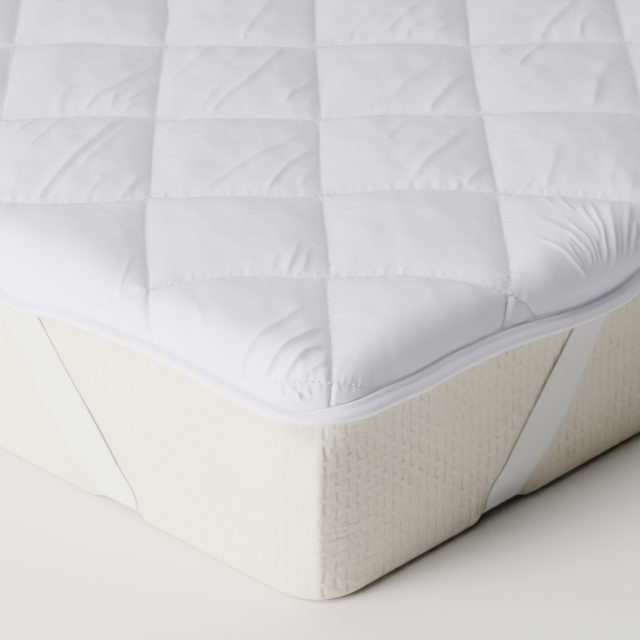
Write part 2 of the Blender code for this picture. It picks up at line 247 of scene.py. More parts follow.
CREASES = (
    # height, half width, (across, along) points
    # fourth row
    (0.9, 3.4, ((-0.48, 4.02), (-0.47, 4.13), (-0.40, 4.32), (-0.28, 4.62))),
    (0.5, 3.6, ((-0.10, 4.45), (0.00, 4.66))),
    (0.5, 3.6, ((0.21, 4.02), (0.24, 4.15), (0.32, 4.31), (0.47, 4.50))),
    (0.9, 3.8, ((0.42, 4.02), (0.52, 4.21), (0.62, 4.40), (0.74, 4.62))),
    (0.8, 3.4, ((0.58, 4.01), (0.62, 4.14), (0.72, 4.25), (0.93, 4.42))),
    (0.6, 3.0, ((0.78, 4.01), (0.80, 4.12), (0.88, 4.27))),
    (1.3, 4.0, ((1.45, 4.01), (1.52, 4.17), (1.62, 4.34), (1.78, 4.62))),
    (0.9, 3.0, ((1.71, 4.03), (1.74, 4.21), (1.82, 4.32))),
    # third row
    (0.6, 4.0, ((-1.62, 3.02), (-1.60, 3.18), (-1.56, 3.36))),
    (1.1, 3.4, ((-1.46, 3.01), (-1.39, 3.17), (-1.23, 3.37), (-1.02, 3.70))),
    (0.6, 2.6, ((-1.29, 3.04), (-1.25, 3.28))),
    (0.9, 2.8, ((-1.21, 3.01), (-1.15, 3.11), (-1.02, 3.20))),
    (0.8, 3.0, ((-1.18, 3.15), (-1.12, 3.25), (-1.01, 3.39))),
    (0.8, 4.4, ((-0.93, 3.42), (-0.84, 3.60), (-0.76, 3.76), (-0.67, 3.99))),
    (0.5, 4.6, ((-0.66, 3.49), (-0.56, 3.66), (-0.47, 3.96))),
    (0.7, 4.0, ((-0.76, 3.02), (-0.69, 3.15), (-0.58, 3.36))),
    (1.1, 3.6, ((-0.68, 3.00), (-0.58, 3.17), (-0.43, 3.39), (-0.28, 3.72), (-0.17, 4.00))),
    (0.5, 4.4, ((-0.43, 3.03), (-0.38, 3.10), (-0.30, 3.24))),
    (0.9, 3.0, ((-0.22, 3.12), (-0.17, 3.26), (-0.10, 3.35), (0.00, 3.55))),
    (0.8, 2.8, ((-0.08, 3.15), (0.00, 3.27))),
    (0.6, 4.0, ((0.31, 3.01), (0.34, 3.12), (0.41, 3.24))),
    (0.9, 5.4, ((0.43, 3.14), (0.58, 3.36), (0.78, 3.66))),
    (1.3, 4.2, ((0.66, 3.01), (0.81, 3.27), (0.93, 3.52))),
    (0.7, 4.0, ((1.05, 3.58), (1.13, 3.71), (1.22, 3.85))),
    (1.2, 3.6, ((1.27, 3.52), (1.33, 3.65), (1.40, 3.77), (1.49, 3.94))),
    (0.7, 5.4, ((1.18, 3.18), (1.31, 3.30), (1.45, 3.54))),
    (1.4, 6.0, ((1.70, 3.06), (1.76, 3.34), (1.86, 3.66))),
    # second row
    (1.5, 4.0, ((-1.72, 1.94), (-1.58, 2.23), (-1.44, 2.48), (-1.30, 2.73), (-1.17, 3.00))),
    (0.9, 4.0, ((-1.44, 2.30), (-1.28, 2.60), (-1.11, 2.92))),
    (0.7, 3.0, ((-1.37, 2.08), (-1.28, 2.23))),
    (1.2, 3.0, ((-1.21, 1.95), (-1.14, 2.08), (-1.06, 2.27))),
    (0.9, 3.4, ((-1.87, 2.78), (-1.80, 2.88), (-1.73, 3.00))),
    (0.7, 3.4, ((-1.78, 2.50), (-1.66, 2.76), (-1.57, 2.98))),
    (0.5, 3.0, ((-0.93, 2.68), (-0.86, 2.95))),
    (0.5, 4.6, ((-0.79, 2.56), (-0.60, 2.72), (-0.52, 2.86))),
    (1.0, 3.6, ((-0.70, 2.02), (-0.54, 2.20), (-0.42, 2.35), (-0.24, 2.57), (-0.10, 2.76))),
    (1.1, 2.9, ((-0.31, 2.04), (-0.26, 2.16), (-0.20, 2.29), (-0.12, 2.42), (-0.02, 2.58))),
    (0.6, 3.0, ((-0.12, 2.10), (-0.03, 2.34))),
    (0.6, 3.6, ((0.39, 2.56), (0.45, 2.67), (0.55, 2.90))),
    (0.5, 4.8, ((0.47, 2.28), (0.60, 2.50))),
    (1.0, 3.8, ((0.50, 2.04), (0.62, 2.28), (0.78, 2.54), (0.88, 2.76))),
    (0.9, 3.0, ((0.82, 2.04), (0.87, 2.14), (0.98, 2.30))),
    (0.7, 4.0, ((1.24, 2.00), (1.32, 2.12), (1.38, 2.34), (1.43, 2.52))),
    (0.6, 2.4, ((1.15, 2.02), (1.20, 2.10), (1.24, 2.14))),
    (0.5, 4.0, ((1.70, 1.93), (1.70, 2.16), (1.73, 2.28), (1.80, 2.52))),
    (0.4, 3.2, ((1.78, 1.94), (1.82, 2.13), (1.87, 2.30))),
    # first row, by the left-hand strap
    (0.4, 3.0, ((-1.32, 1.33), (-1.20, 1.43), (-1.12, 1.54), (-1.03, 1.60))),
    (0.45, 1.6, ((-1.18, 0.96), (-1.15, 1.05), (-1.12, 1.16), (-1.10, 1.24), (-1.06, 1.32))),
    (0.7, 2.2, ((-1.28, 0.94), (-1.23, 1.03))),
    (0.6, 2.2, ((-1.40, 0.93), (-1.36, 0.98))),
    (0.8, 2.6, ((-1.02, 0.64), (-1.06, 0.78))),
    # by the corner
    (1.0, 3.0, ((-0.24, 1.03), (-0.20, 1.16), (-0.15, 1.36))),
    (0.8, 2.6, ((-0.15, 1.03), (-0.13, 1.15), (-0.10, 1.32))),
    (0.5, 2.6, ((-0.32, 1.04), (-0.29, 1.20))),
    (0.6, 3.0, ((-0.67, 0.34), (-0.69, 0.46), (-0.74, 0.60))),
    (1.3, 3.0, ((-0.52, 0.02), (-0.46, 0.12), (-0.38, 0.26), (-0.26, 0.44), (-0.10, 0.66))),
    (1.9, 2.8, ((-0.39, 0.00), (-0.32, 0.08), (-0.24, 0.20), (-0.14, 0.32), (-0.03, 0.46))),
    (1.6, 2.4, ((-0.28, 0.00), (-0.22, 0.06), (-0.14, 0.16), (-0.02, 0.27))),
    (1.0, 2.0, ((-0.14, 0.03), (-0.07, 0.08), (0.00, 0.14))),
    (-0.35, 6.0, ((0.33, 0.12), (0.29, 0.22), (0.18, 0.36), (0.04, 0.48))),
)

# Pleats that run to the rim, as creases but in cells whose seams are straight: what the
# right-hand strap draws into the pad, and small gathers by the corner
PLEATS = (
    (0.54, 2.0, ((1.33, 1.78), (1.28, 1.91))),
    (0.72, 2.0, ((1.44, 1.68), (1.4, 1.8), (1.38, 1.89))),
    (0.9, 1.7, ((1.55, 1.42), (1.54, 1.52), (1.52, 1.6), (1.5, 1.69), (1.5, 1.84))),
    (1.35, 1.9, ((1.6, 1.35), (1.58, 1.44), (1.58, 1.54), (1.57, 1.64), (1.54, 1.85))),
    (1.52, 2.6, ((1.66, 1.36), (1.64, 1.46), (1.64, 1.54), (1.65, 1.62), (1.68, 1.84))),
    (1.07, 2.5, ((1.69, 1.4), (1.68, 1.49), (1.68, 1.56), (1.7, 1.66), (1.73, 1.82))),
    (1.35, 2.0, ((1.74, 1.42), (1.72, 1.51), (1.73, 1.6), (1.76, 1.7), (1.79, 1.82))),
    (1.17, 1.8, ((1.79, 1.43), (1.77, 1.5), (1.78, 1.58), (1.79, 1.68))),
    (0.81, 1.8, ((1.83, 1.48), (1.82, 1.56), (1.84, 1.68))),
    (0.9, 2.0, ((1.51, 1.22), (1.41, 1.24), (1.33, 1.28), (1.26, 1.32), (1.22, 1.38))),
    (0.72, 1.3, ((1.45, 1.255), (1.42, 1.27), (1.39, 1.3), (1.36, 1.36))),
    (0.62, 1.3, ((1.44, 1.31), (1.4, 1.34), (1.37, 1.38))),
    (0.9, 1.5, ((1.51, 1.29), (1.48, 1.34), (1.44, 1.36), (1.41, 1.4), (1.37, 1.48))),
    (0.9, 1.6, ((1.54, 1.32), (1.5, 1.38), (1.48, 1.42), (1.45, 1.46), (1.37, 1.63))),
    (0.72, 1.3, ((1.57, 1.33), (1.54, 1.37), (1.52, 1.44))),
    (0.54, 1.2, ((1.48, 1.32), (1.44, 1.36))),
    (0.72, 3.6, ((1.38, 1.42), (1.3, 1.57))),
    (0.54, 3.6, ((1.31, 1.51), (1.23, 1.64))),
    (2.28, 1.4, ((-0.17, -0.055), (-0.2, -0.02), (-0.235, 0.02))),
    (1.33, 1.2, ((-0.28, -0.01), (-0.295, 0.03))),
    (0.95, 1.2, ((-0.35, 0.03), (-0.36, 0.06))),
    (1.33, 1.3, ((-0.12, -0.05), (-0.145, 0.0))),
)
# Where a seam is drawn in hard toward the rim: its family and number, the cells along it
# between which that is, and how deep, in millimetres
TIGHT_SEAMS = (
    ("column", 0, -0.30, 0.50, 2.0),
    ("column", 1, 0.66, 1.00, 2.4),
    ("column", -1, 0.66, 1.50, 1.6),
    ("row", 1, 0.98, 1.40, 1.2),
    ("row", 1, -1.40, -0.98, 0.8),
)
TIGHT_WIDTH = 0.0011
TIGHT_EASES = (0.06, 0.12)  # cells along the seam, over which that begins and ends
TIGHT_ENDS = 0.003  # the width over which it runs out at the rim
PLEAT_ENDS = 0.004
CREASE_ENDS = 0.010
CREASE_TO_SEAM = 0.0035  # the width over which creases and pleats run out at a seam

# ---- creases elsewhere, laid by a seeded draw

FAR_CREASES = 3  # in each cell that the photograph doesn't show
FAR_CREASE_HEIGHT = (0.0006, 0.0013)
FAR_CREASE_WIDTH = (0.0036, 0.0052)
FAR_CREASE_LENGTH = (0.030, 0.070)

# ---- the quilted face's small forms

UNEVEN_FILL = 0.10  # by which the puff is fuller or flatter from place to place
CELL_DENTS = ((0.00045, 0.040, 12), (0.00012, 0.016, 13))  # height, wavelength and seed
DENT_EASES = 0.020  # from the seams and from the rim
PUCKER_HEIGHT = 0.00075
PUCKER_REACH = 0.007  # from a seam
PUCKER_VARIES = 0.4  # the share by which that varies
PUCKER_LEAST = 0.002
PUCKER_PITCH = 0.0075  # along it
PUCKER_RISE = 0.0012
PUCKER_ENDS = 0.008  # the width over which they run out at the rim
SCALLOP_HEIGHT = 0.00055  # by which the cloth swells between stitches
SCALLOP_RISE = 0.0009
SCALLOP_REACH = 0.0024

# ---- thread

STITCH_PITCH = 0.0042
STITCH_DIP = 0.0003  # of a stitch's ends, into the cloth
STITCH_LIFT = 0.00085  # of its middle, over it
STITCH_THICKNESS = 0.00044
STITCH_INSET = 0.006  # of the last stitch from the rim
TAPE_STITCH_THICKNESS = 0.00028

# ---- mesh steps: metres between points inside a cell and along its seams, and how far
# from a seam the rows beside it lie

FINE_MESH = (0.0036, 0.0014, (0.0010, 0.0023, 0.0040, 0.0062))
MIDDLE_MESH = (0.0048, 0.0032, (0.0012, 0.0030, 0.0060))
COARSE_MESH = (0.0086, 0.0070, (0.0022, 0.0060))
FINE_ACROSS = 2.25  # cells to each side of the photographed corner
FINE_ALONG = 3.0
MIDDLE_ALONG = 5.1
FINE_RIM = 0.0024
COARSE_RIM = 0.0090
FINE_RIM_REACH = 0.44  # along the rim from the photographed corner
RIM_ROWS = (0.0008, 0.0018, 0.0030, 0.0050, 0.0075)
CREASE_STEP = 0.0026  # along a crease
FAR_CREASE_STEP = 0.0050
SEAMS_TO_RIM = 0.0012  # how near the rim each kind of point may come, and how near a seam
CREASES_TO_RIM = 0.0085
INNER_TO_RIM = 0.0095
RIM_TO_SEAM = 0.0065
CREASES_TO_SEAM = 0.0064
CLOSEST = 0.0007  # between mesh points
UNDERSIDE_RINGS = 5

# A family of seams: the pitch of the crossings along a seam, and between its seams
FAMILIES = (("column", ROW_PITCH, COLUMN_PITCH), ("row", COLUMN_PITCH, ROW_PITCH))


def half_sizes():
    """Half the mattress's width and length, and its thickness, from the frame."""
    _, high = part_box("mattress")
    return high.x, high.y, high.z


def smooth(x):
    x = np.clip(x, 0.0, 1.0)
    return x * x * (3 - 2 * x)


def bell(x):
    return np.exp(-(x**2))


def soft_noise(points, wavelength, seed, waves=16):
    """A smooth random field over 2-D points, mostly within -1 and 1."""
    rng = random.Random(seed)
    total = np.zeros(len(points))
    for _ in range(waves):
        angle = rng.uniform(0, math.tau)
        pitch = wavelength * rng.uniform(0.7, 1.6)
        phase = rng.uniform(0, math.tau)
        way = np.array((math.cos(angle), math.sin(angle))) * (math.tau / pitch)
        total += np.sin(points @ way + phase)
    return total / math.sqrt(waves)


# ---- flat cloth and its fall over the bed


class Bed:
    """The mattress's sizes, and the fold of flat cloth over its edge."""

    def __init__(self):
        self.half_width, self.half_length, self.thickness = half_sizes()
        self.core = np.array((self.half_width - PLAN_RADIUS, self.half_length - PLAN_RADIUS))

    def past_edge(self, p):
        """How far flat points lie past the flat top, the way outward, and the core."""
        core = np.clip(p, -self.core, self.core)
        away = p - core
        reach = np.linalg.norm(away, axis=1)
        out = away / np.maximum(reach, 1e-9)[:, None]
        return reach - FLAT_RADIUS, out, core

    def lay(self, p, height):
        """Flat points laid over the mattress, at a height from its surface."""
        past, out, core = self.past_edge(p)
        height = np.broadcast_to(height, past.shape)
        bend = np.clip(past / MID_RADIUS, 0.0, math.pi / 2)
        drop = np.maximum(0.0, past - EDGE_ARC)
        radius = TOP_RADIUS + height
        over = core + out * (FLAT_RADIUS + radius * np.sin(bend))[:, None]
        z = self.thickness - TOP_RADIUS + radius * np.cos(bend) - drop
        inside = past <= 0
        over = np.where(inside[:, None], p, over)
        z = np.where(inside, self.thickness + height, z)
        return np.column_stack((over, z))

    def from_corner(self, out, core):
        """Distance from the nearest corner along the rim, and whether on a short end."""
        rim = core + out * PLAN_RADIUS
        along_end = self.half_width - np.abs(rim[:, 0])
        along_side = self.half_length - np.abs(rim[:, 1])
        return np.maximum(along_end, along_side), along_end > along_side

    def fall(self, out, core):
        """The cloth's length over the edge, at places round the rim."""
        return self.along_rim(out, core, FALL_ALONG_END, FALL_ALONG_SIDE)

    def along_rim(self, out, core, end_table, side_table):
        """What the tables give at places round the rim, eased, in metres."""
        distance, on_end = self.from_corner(out, core)

        def total(table):
            places, values = zip(*table)
            return sum(np.interp(1000 * distance + shift, places, values) for shift in FALL_EASING)

        return np.where(on_end, total(end_table), total(side_table)) / (1000 * len(FALL_EASING))

    def rim_stations(self, fine, coarse):
        """Places round the flat top's outline: core, way outward and distance round it."""
        cores = []
        outs = []
        corners = ((-1, -1), (1, -1), (1, 1), (-1, 1))
        turn_radius = PLAN_RADIUS + 0.008
        for side, (sx, sy) in enumerate(corners):
            angle = (side - 1) * math.pi / 2
            run = 2 * self.core[side % 2]
            start = np.array((sx, sy)) * self.core
            out = np.array((math.cos(angle), math.sin(angle)))
            along = np.array((-out[1], out[0]))
            # the photographed corner ends side 0 and begins side 1
            fine_runs = {0: (run - FINE_RIM_REACH, run), 1: (0.0, FINE_RIM_REACH)}
            places = graded(run, fine_runs.get(side, (run, run)), fine, coarse)
            for place in places[:-1]:
                cores.append(start + along * place)
                outs.append(out)
            step = fine if side == 0 else coarse / 2
            turns = 2 * max(3, round(math.pi / 4 * turn_radius / step))
            for k in range(turns):
                turn = angle + math.pi / 2 * k / turns
                cores.append(start + along * run)
                outs.append(np.array((math.cos(turn), math.sin(turn))))
        cores = np.array(cores)
        outs = np.array(outs)
        rim = cores + outs * PLAN_RADIUS
        steps = np.linalg.norm(np.roll(rim, -1, axis=0) - rim, axis=1)
        round_rim = np.concatenate(((0.0,), np.cumsum(steps)[:-1]))
        return cores, outs, round_rim


def graded(run, fine_run, fine, coarse):
    """Places along a run, at fine steps within fine_run and coarse ones elsewhere."""
    low, high = fine_run
    places = []
    for start, end, step in ((0.0, low, coarse), (low, high, fine), (high, run, coarse)):
        if end - start > 1e-9:
            count = max(1, round((end - start) / step))
            places += [start + (end - start) * k / count for k in range(count)]
    return places + [run]


# ---- where the seams run


def seam_bend(family, run, beside):
    """How far a family's seams lie off their straight lines, at places along and beside them."""
    total = np.zeros(len(run))
    for seam, bends in family.items():
        places = [place for place, _ in bends]
        offsets = [offset for _, offset in bends]
        eased = sum(np.interp(run + shift, places, offsets) for shift in (-0.03, 0.0, 0.03)) / 3
        inside = smooth((run - places[0] + 0.5) / 0.5) * smooth((places[-1] + 0.5 - run) / 0.5)
        total += eased * inside * np.maximum(0.0, 1 - np.abs(beside - seam))
    return total


def seams_to_flat(across, along):
    """Flat cloth coordinates of places given in cells, where seams are whole numbers."""
    cells = np.stack((across * COLUMN_PITCH, along * ROW_PITCH), axis=1)
    sideways = across + seam_bend(COLUMN_BENDS, along, across)
    sideways = sideways * COLUMN_PITCH + COLUMN_WANDER * soft_noise(cells, 0.21, 3)
    onward = along + seam_bend(ROW_BENDS, across, along)
    onward = onward * ROW_PITCH + ROW_WANDER * soft_noise(cells, 0.11, 4)
    return NODE + sideways[:, None] * ROW_WAY + onward[:, None] * COLUMN_WAY


def flat_to_seams(p):
    """The reverse, found by repeated correction."""
    rel = p - NODE
    target = np.stack((rel @ ROW_WAY / COLUMN_PITCH, rel @ COLUMN_WAY / ROW_PITCH), axis=1)
    cells = target.copy()
    for _ in range(9):
        back = seams_to_flat(cells[:, 0], cells[:, 1]) - NODE
        found = np.stack((back @ ROW_WAY / COLUMN_PITCH, back @ COLUMN_WAY / ROW_PITCH), axis=1)
        cells += target - found
    return cells[:, 0], cells[:, 1]


# ---- the quilted face


def curve_through(points, steps=14):
    """Points along a smooth curve through the given ones."""
    points = [np.array(p, float) for p in points]
    if len(points) == 2:
        return np.array([points[0] + (points[1] - points[0]) * k / steps for k in range(steps + 1)])
    ends = [2 * points[0] - points[1], *points, 2 * points[-1] - points[-2]]
    made = []
    for a, b, c, d in zip(ends, ends[1:], ends[2:], ends[3:]):
        for k in range(steps):
            t = k / steps
            square = (2 * a - 5 * b + 4 * c - d) * t**2
            cube = (3 * b - a - 3 * c + d) * t**3
            made.append(0.5 * (2 * b + (c - a) * t + square + cube))
    return np.array(made + [points[-1]])


class Crease:
    """A crease's line over the flat cloth, and its profile beside that line."""

    ROWS = (-2.6, -1.7, -1.0, -0.45, 0.0, 0.30, 0.65, 1.05, 1.5, 2.1, 2.9)
    FEW_ROWS = (-1.8, -0.7, 0.0, 0.6, 1.4, 2.6)

    def __init__(self, height, half_width, line):
        self.height = height
        self.half_width = half_width
        self.line = line
        ways = np.diff(line, axis=0)
        self.across = np.column_stack((ways[:, 1], -ways[:, 0])) / np.linalg.norm(ways, axis=1)[:, None]
        # the trough lies on the side toward +X
        self.across *= np.where(self.across[:, 0] < 0, -1.0, 1.0)[:, None]

    def width(self, share):
        return self.half_width * (0.60 + 0.45 * share)

    def near(self, p):
        """Which of the points p lie near, and their side, distance past the ends and share."""
        margin = 3.5 * self.half_width
        inside = (p > self.line.min(0) - margin) & (p < self.line.max(0) + margin)
        near = np.flatnonzero(np.all(inside, axis=1))
        q = p[near]
        best = np.full(len(q), 1e9)
        side = np.zeros(len(q))
        share = np.zeros(len(q))
        count = len(self.across)
        for k in range(count):
            start = self.line[k]
            way = self.line[k + 1] - start
            t = np.clip((q - start) @ way / (way @ way), 0.0, 1.0)
            off = q - (start + t[:, None] * way)
            distance = np.linalg.norm(off, axis=1)
            closer = distance < best
            best = np.where(closer, distance, best)
            side = np.where(closer, off @ self.across[k], side)
            share = np.where(closer, (k + t) / count, share)
        beyond = np.sqrt(np.maximum(0.0, best**2 - side**2))
        return near, side, beyond, share

    def lift(self, p):
        """What the crease adds to the cloth's height at flat points."""
        total = np.zeros(len(p))
        near, side, beyond, share = self.near(p)
        if len(near) == 0:
            return total
        width = self.width(share)
        ratio = side / width
        # a slow rise to a sharp crest, then a quick drop to a shallow trough
        rise = bell(ratio / 1.5)
        drop = np.exp(-((np.maximum(ratio, 0.0) / 0.75) ** 1.25)) - 0.35 * bell((ratio - 2.0) / 1.0)
        profile = np.where(ratio < 0, rise, drop)
        strength = smooth(share / 0.16 + 0.25) * smooth((1 - share) / 0.22 + 0.10)
        total[near] = self.height * profile * strength * bell(beyond / width)
        return total

    def points(self, rows, step):
        """Mesh points along the crease, in rows beside its line."""
        lengths = np.linalg.norm(np.diff(self.line, axis=0), axis=1)
        run = np.concatenate(((0.0,), np.cumsum(lengths)))
        places = np.linspace(0.0, run[-1], max(3, round(run[-1] / step)))
        on_line = np.column_stack([np.interp(places, run, self.line[:, k]) for k in range(2)])
        segment = np.clip(np.searchsorted(run, places) - 1, 0, len(self.across) - 1)
        width = self.width(places / run[-1])
        return np.concatenate([on_line + self.across[segment] * (width * row)[:, None] for row in rows])

    def covers(self, p):
        """Which points lie in the band that the crease's own rows fill."""
        near, side, beyond, share = self.near(p)
        ratio = side / self.width(share)
        inside = (ratio > self.ROWS[0] - 0.4) & (ratio < self.ROWS[-1] + 0.4) & (beyond < 0.002)
        covered = np.zeros(len(p), dtype=bool)
        covered[near] = inside
        return covered


def crowned(cells):
    """From 0 at the seams, which are whole numbers, to 1 halfway between them."""
    off_middle = np.abs(2 * (cells - np.floor(cells)) - 1)
    return np.maximum(0.0, 1 - off_middle**PUFF_FLATNESS) ** PUFF_POWER


def to_seams(across, along):
    """Distances to the nearest column seam and row seam."""
    return np.abs(across - np.round(across)) * COLUMN_PITCH, np.abs(along - np.round(along)) * ROW_PITCH


class Quilt:
    """The pad's outer face over the bed, and the mesh points that carry it."""

    def __init__(self, bed):
        self.bed = bed
        self.creases = []
        for height, half_width, points in CREASES:
            points = np.array(points)
            line = curve_through(seams_to_flat(points[:, 0], points[:, 1]))
            self.creases.append(Crease(height / 1000, half_width / 1000, line))
        self.pleats = []
        for height, half_width, points in PLEATS:
            points = np.array(points) * (COLUMN_PITCH, ROW_PITCH)
            line = curve_through(NODE + np.outer(points[:, 0], ROW_WAY) + np.outer(points[:, 1], COLUMN_WAY))
            self.pleats.append(Crease(height / 1000, half_width / 1000, line))
        self.far_creases = self.draw_far_creases()

    def cells(self):
        """The cells that reach the bed, as (across, along) of their first corner."""
        reach = int((self.bed.half_width + self.bed.half_length) * 1.5 / COLUMN_PITCH)
        for i in range(-reach, reach):
            for j in range(-reach, reach):
                x, y = NODE + ROW_WAY * ((i + 0.5) * COLUMN_PITCH) + COLUMN_WAY * ((j + 0.5) * ROW_PITCH)
                if abs(x) < self.bed.half_width + 0.13 and abs(y) < self.bed.half_length + 0.13:
                    yield i, j

    @staticmethod
    def mesh_of(i, j):
        """The mesh steps for a cell, finer where the photograph looks."""
        if abs(i + 0.5) > FINE_ACROSS or j < -1:
            return COARSE_MESH
        if j < FINE_ALONG:
            return FINE_MESH
        return MIDDLE_MESH if j + 0.5 < MIDDLE_ALONG else COARSE_MESH

    def draw_far_creases(self):
        rng = random.Random(19)
        drawn = []
        for i, j in self.cells():
            if self.mesh_of(i, j) is not COARSE_MESH:
                continue
            for _ in range(FAR_CREASES):
                spot = np.array((i + rng.uniform(0.12, 0.88), j + rng.uniform(0.15, 0.85)))
                middle = NODE + ROW_WAY * spot[0] * COLUMN_PITCH + COLUMN_WAY * spot[1] * ROW_PITCH
                angle = math.radians(90 + rng.uniform(-24, 24))
                way = np.array((math.cos(angle), math.sin(angle)))
                side = np.array((-way[1], way[0])) * rng.uniform(-0.006, 0.006)
                half = way * rng.uniform(*FAR_CREASE_LENGTH) / 2
                line = curve_through((middle - half, middle + side, middle + half), 6)
                drawn.append(Crease(rng.uniform(*FAR_CREASE_HEIGHT), rng.uniform(*FAR_CREASE_WIDTH), line))
        return drawn

    def room(self, p):
        """How far flat points lie inside the rim, and the width over which the filling
        thins toward it: more where the cloth is drawn down."""
        past, out, core = self.bed.past_edge(p)
        fall = self.bed.fall(out, core)
        return fall - past, RIM_TAPER * (fall / USUAL_FALL) ** 1.5

    def outer_height(self, p):
        """The height of the pad's outer face over the mattress, at flat points."""
        across, along = flat_to_seams(p)
        to_column, to_row = to_seams(across, along)
        to_seam = np.minimum(to_column, to_row)
        room, taper = self.room(p)

        fullness = 1 + UNEVEN_FILL * soft_noise(p, 0.15, 11)
        # the filling thins toward the sewn rim, and the seams' channels run on into it
        full = np.sin(math.pi / 2 * np.clip(room / taper, 0.0, 1.0)) ** RIM_ROUNDNESS
        puff = crowned(across) * crowned(along) * fullness * full
        height = STITCH_HEIGHT + (CROWN_HEIGHT - STITCH_HEIGHT) * puff

        # soft dents and swellings inside the cells
        free = smooth(to_seam / DENT_EASES) * smooth(room / DENT_EASES)
        in_view = (np.abs(across) < 2) & (along > -1) & (along < FINE_ALONG)
        for dent, wavelength, seed in CELL_DENTS:
            height += dent * soft_noise(p, wavelength, seed) * free

        # puckers where the thread draws the cloth in, at right angles to each seam
        for distance, run, side, seed in (
            (to_column, along * ROW_PITCH, np.floor(across), 21),
            (to_row, across * COLUMN_PITCH, np.floor(along), 22),
        ):
            varied = 1 + PUCKER_VARIES * soft_noise(p, 0.05, seed + 10)
            reach = np.maximum(PUCKER_REACH * varied, PUCKER_LEAST)
            held = (1 - np.exp(-distance / PUCKER_RISE)) * np.exp(-distance / reach)
            ripple = soft_noise(np.stack((run, side * 0.37), axis=1), PUCKER_PITCH, seed)
            height += PUCKER_HEIGHT * ripple * held * smooth(room / PUCKER_ENDS)
            # and the cloth swells a little between the stitches
            between = np.cos(math.tau * run / STITCH_PITCH) * smooth(distance / SCALLOP_RISE)
            height += SCALLOP_HEIGHT * (between * np.exp(-distance / SCALLOP_REACH)) * in_view

        families = {"column": (along, across, COLUMN_PITCH), "row": (across, along, ROW_PITCH)}
        for family, seam, low, high, depth in TIGHT_SEAMS:
            run, beside, pitch = families[family]
            begun = smooth((run - low) / TIGHT_EASES[0])
            held = begun * smooth((high - run) / TIGHT_EASES[1])
            notch = bell((beside - seam) * pitch / TIGHT_WIDTH)
            height -= 0.001 * depth * held * notch * smooth(room / TIGHT_ENDS)
        wrinkles = sum(crease.lift(p) for crease in self.creases + self.far_creases)
        wrinkles = wrinkles * smooth(room / CREASE_ENDS)
        wrinkles += sum(pleat.lift(p) for pleat in self.pleats) * smooth(room / PLEAT_ENDS)
        height += wrinkles * smooth(to_seam / CREASE_TO_SEAM)
        curl = 1 - np.sqrt(1 - (1 - np.clip(room / EDGE_CURL, 0, 1)) ** 2)
        return height + (EDGE_SEAM_HEIGHT - height) * curl

    # -- mesh points

    def seam_points(self):
        """Rows of points along the seams and beside them, cell by cell."""
        made = []
        for i, j in self.cells():
            _, step, rows = self.mesh_of(i, j)
            for family, length, width in FAMILIES:
                places = np.linspace(0.0, length, round(length / step), endpoint=False)
                for row in (0.0, *rows, *(width - row for row in rows)):
                    inset = min(row, width - row)
                    run = places[(places >= inset) & (places <= length - inset)] / length
                    fixed = np.full(len(run), row / width)
                    cells = (fixed, run) if family == "column" else (run, fixed)
                    made.append(seams_to_flat(i + cells[0], j + cells[1]))
        return np.concatenate(made)

    def inner_points(self):
        """Staggered points inside the cells."""
        made = []
        for i, j in self.cells():
            step, _, rows = self.mesh_of(i, j)
            inset = rows[-1] + step * 0.55
            wide = round((COLUMN_PITCH - 2 * inset) / step)
            high = round((ROW_PITCH - 2 * inset) / step)
            across, along = np.meshgrid(np.arange(wide + 1), np.arange(high + 1))
            across = across + 0.5 * (along % 2) - 0.25
            across = (inset + across.ravel() * (COLUMN_PITCH - 2 * inset) / wide) / COLUMN_PITCH
            along = (inset + along.ravel() * (ROW_PITCH - 2 * inset) / high) / ROW_PITCH
            made.append(seams_to_flat(i + across, j + along))
        return np.concatenate(made)

    def rim_points(self, cores, outs, falls):
        return np.concatenate([cores + outs * (FLAT_RADIUS + falls - row)[:, None] for row in RIM_ROWS])

    def points(self, cores, outs, falls):
        """All mesh points inside the rim: seams first, then rim, creases and the rest."""

        def seam_distance(p):
            return np.minimum(*to_seams(*flat_to_seams(p)))

        seams = self.seam_points()
        seams = seams[self.room(seams)[0] > SEAMS_TO_RIM]
        rim = self.rim_points(cores, outs, falls)
        rim = rim[seam_distance(rim) > RIM_TO_SEAM]
        near = self.creases + self.pleats
        lines = [crease.points(Crease.ROWS, CREASE_STEP) for crease in near]
        lines += [crease.points(Crease.FEW_ROWS, FAR_CREASE_STEP) for crease in self.far_creases]
        lines = np.concatenate(lines)
        clear = (self.room(lines)[0] > CREASES_TO_RIM) & (seam_distance(lines) > CREASES_TO_SEAM)
        lines = lines[clear]
        inner = self.inner_points()
        inner = inner[self.room(inner)[0] > INNER_TO_RIM]
        covered = np.zeros(len(inner), dtype=bool)
        for crease in near + self.far_creases:
            covered |= crease.covers(inner)
        together = np.concatenate((seams, rim, lines, inner[~covered]))
        _, kept = np.unique(np.round(together / CLOSEST).astype(np.int64), axis=0, return_index=True)
        return together[np.sort(kept)]


def make_object(name, points, faces, material, uv=None):
    """A smooth-shaded body, with its faces turned outward. uv has a pair per point."""
    mesh = bpy.data.meshes.new(name)
    mesh.from_pydata([tuple(p) for p in points], [], faces)
    if uv is not None:
        layer = mesh.uv_layers.new(name="cloth_metres")
        corners = np.zeros(len(mesh.loops), dtype=np.int32)
        mesh.loops.foreach_get("vertex_index", corners)
        layer.data.foreach_set("uv", np.asarray(uv, dtype=np.float32)[corners].ravel())
    bm = bmesh.new()
    bm.from_mesh(mesh)
    bmesh.ops.recalc_face_normals(bm, faces=bm.faces)
    bm.to_mesh(mesh)
    bm.free()
    mesh.materials.append(material)
    mesh.shade_smooth()
    ob = bpy.data.objects.new(name, mesh)
    bpy.context.scene.collection.objects.link(ob)
    return ob


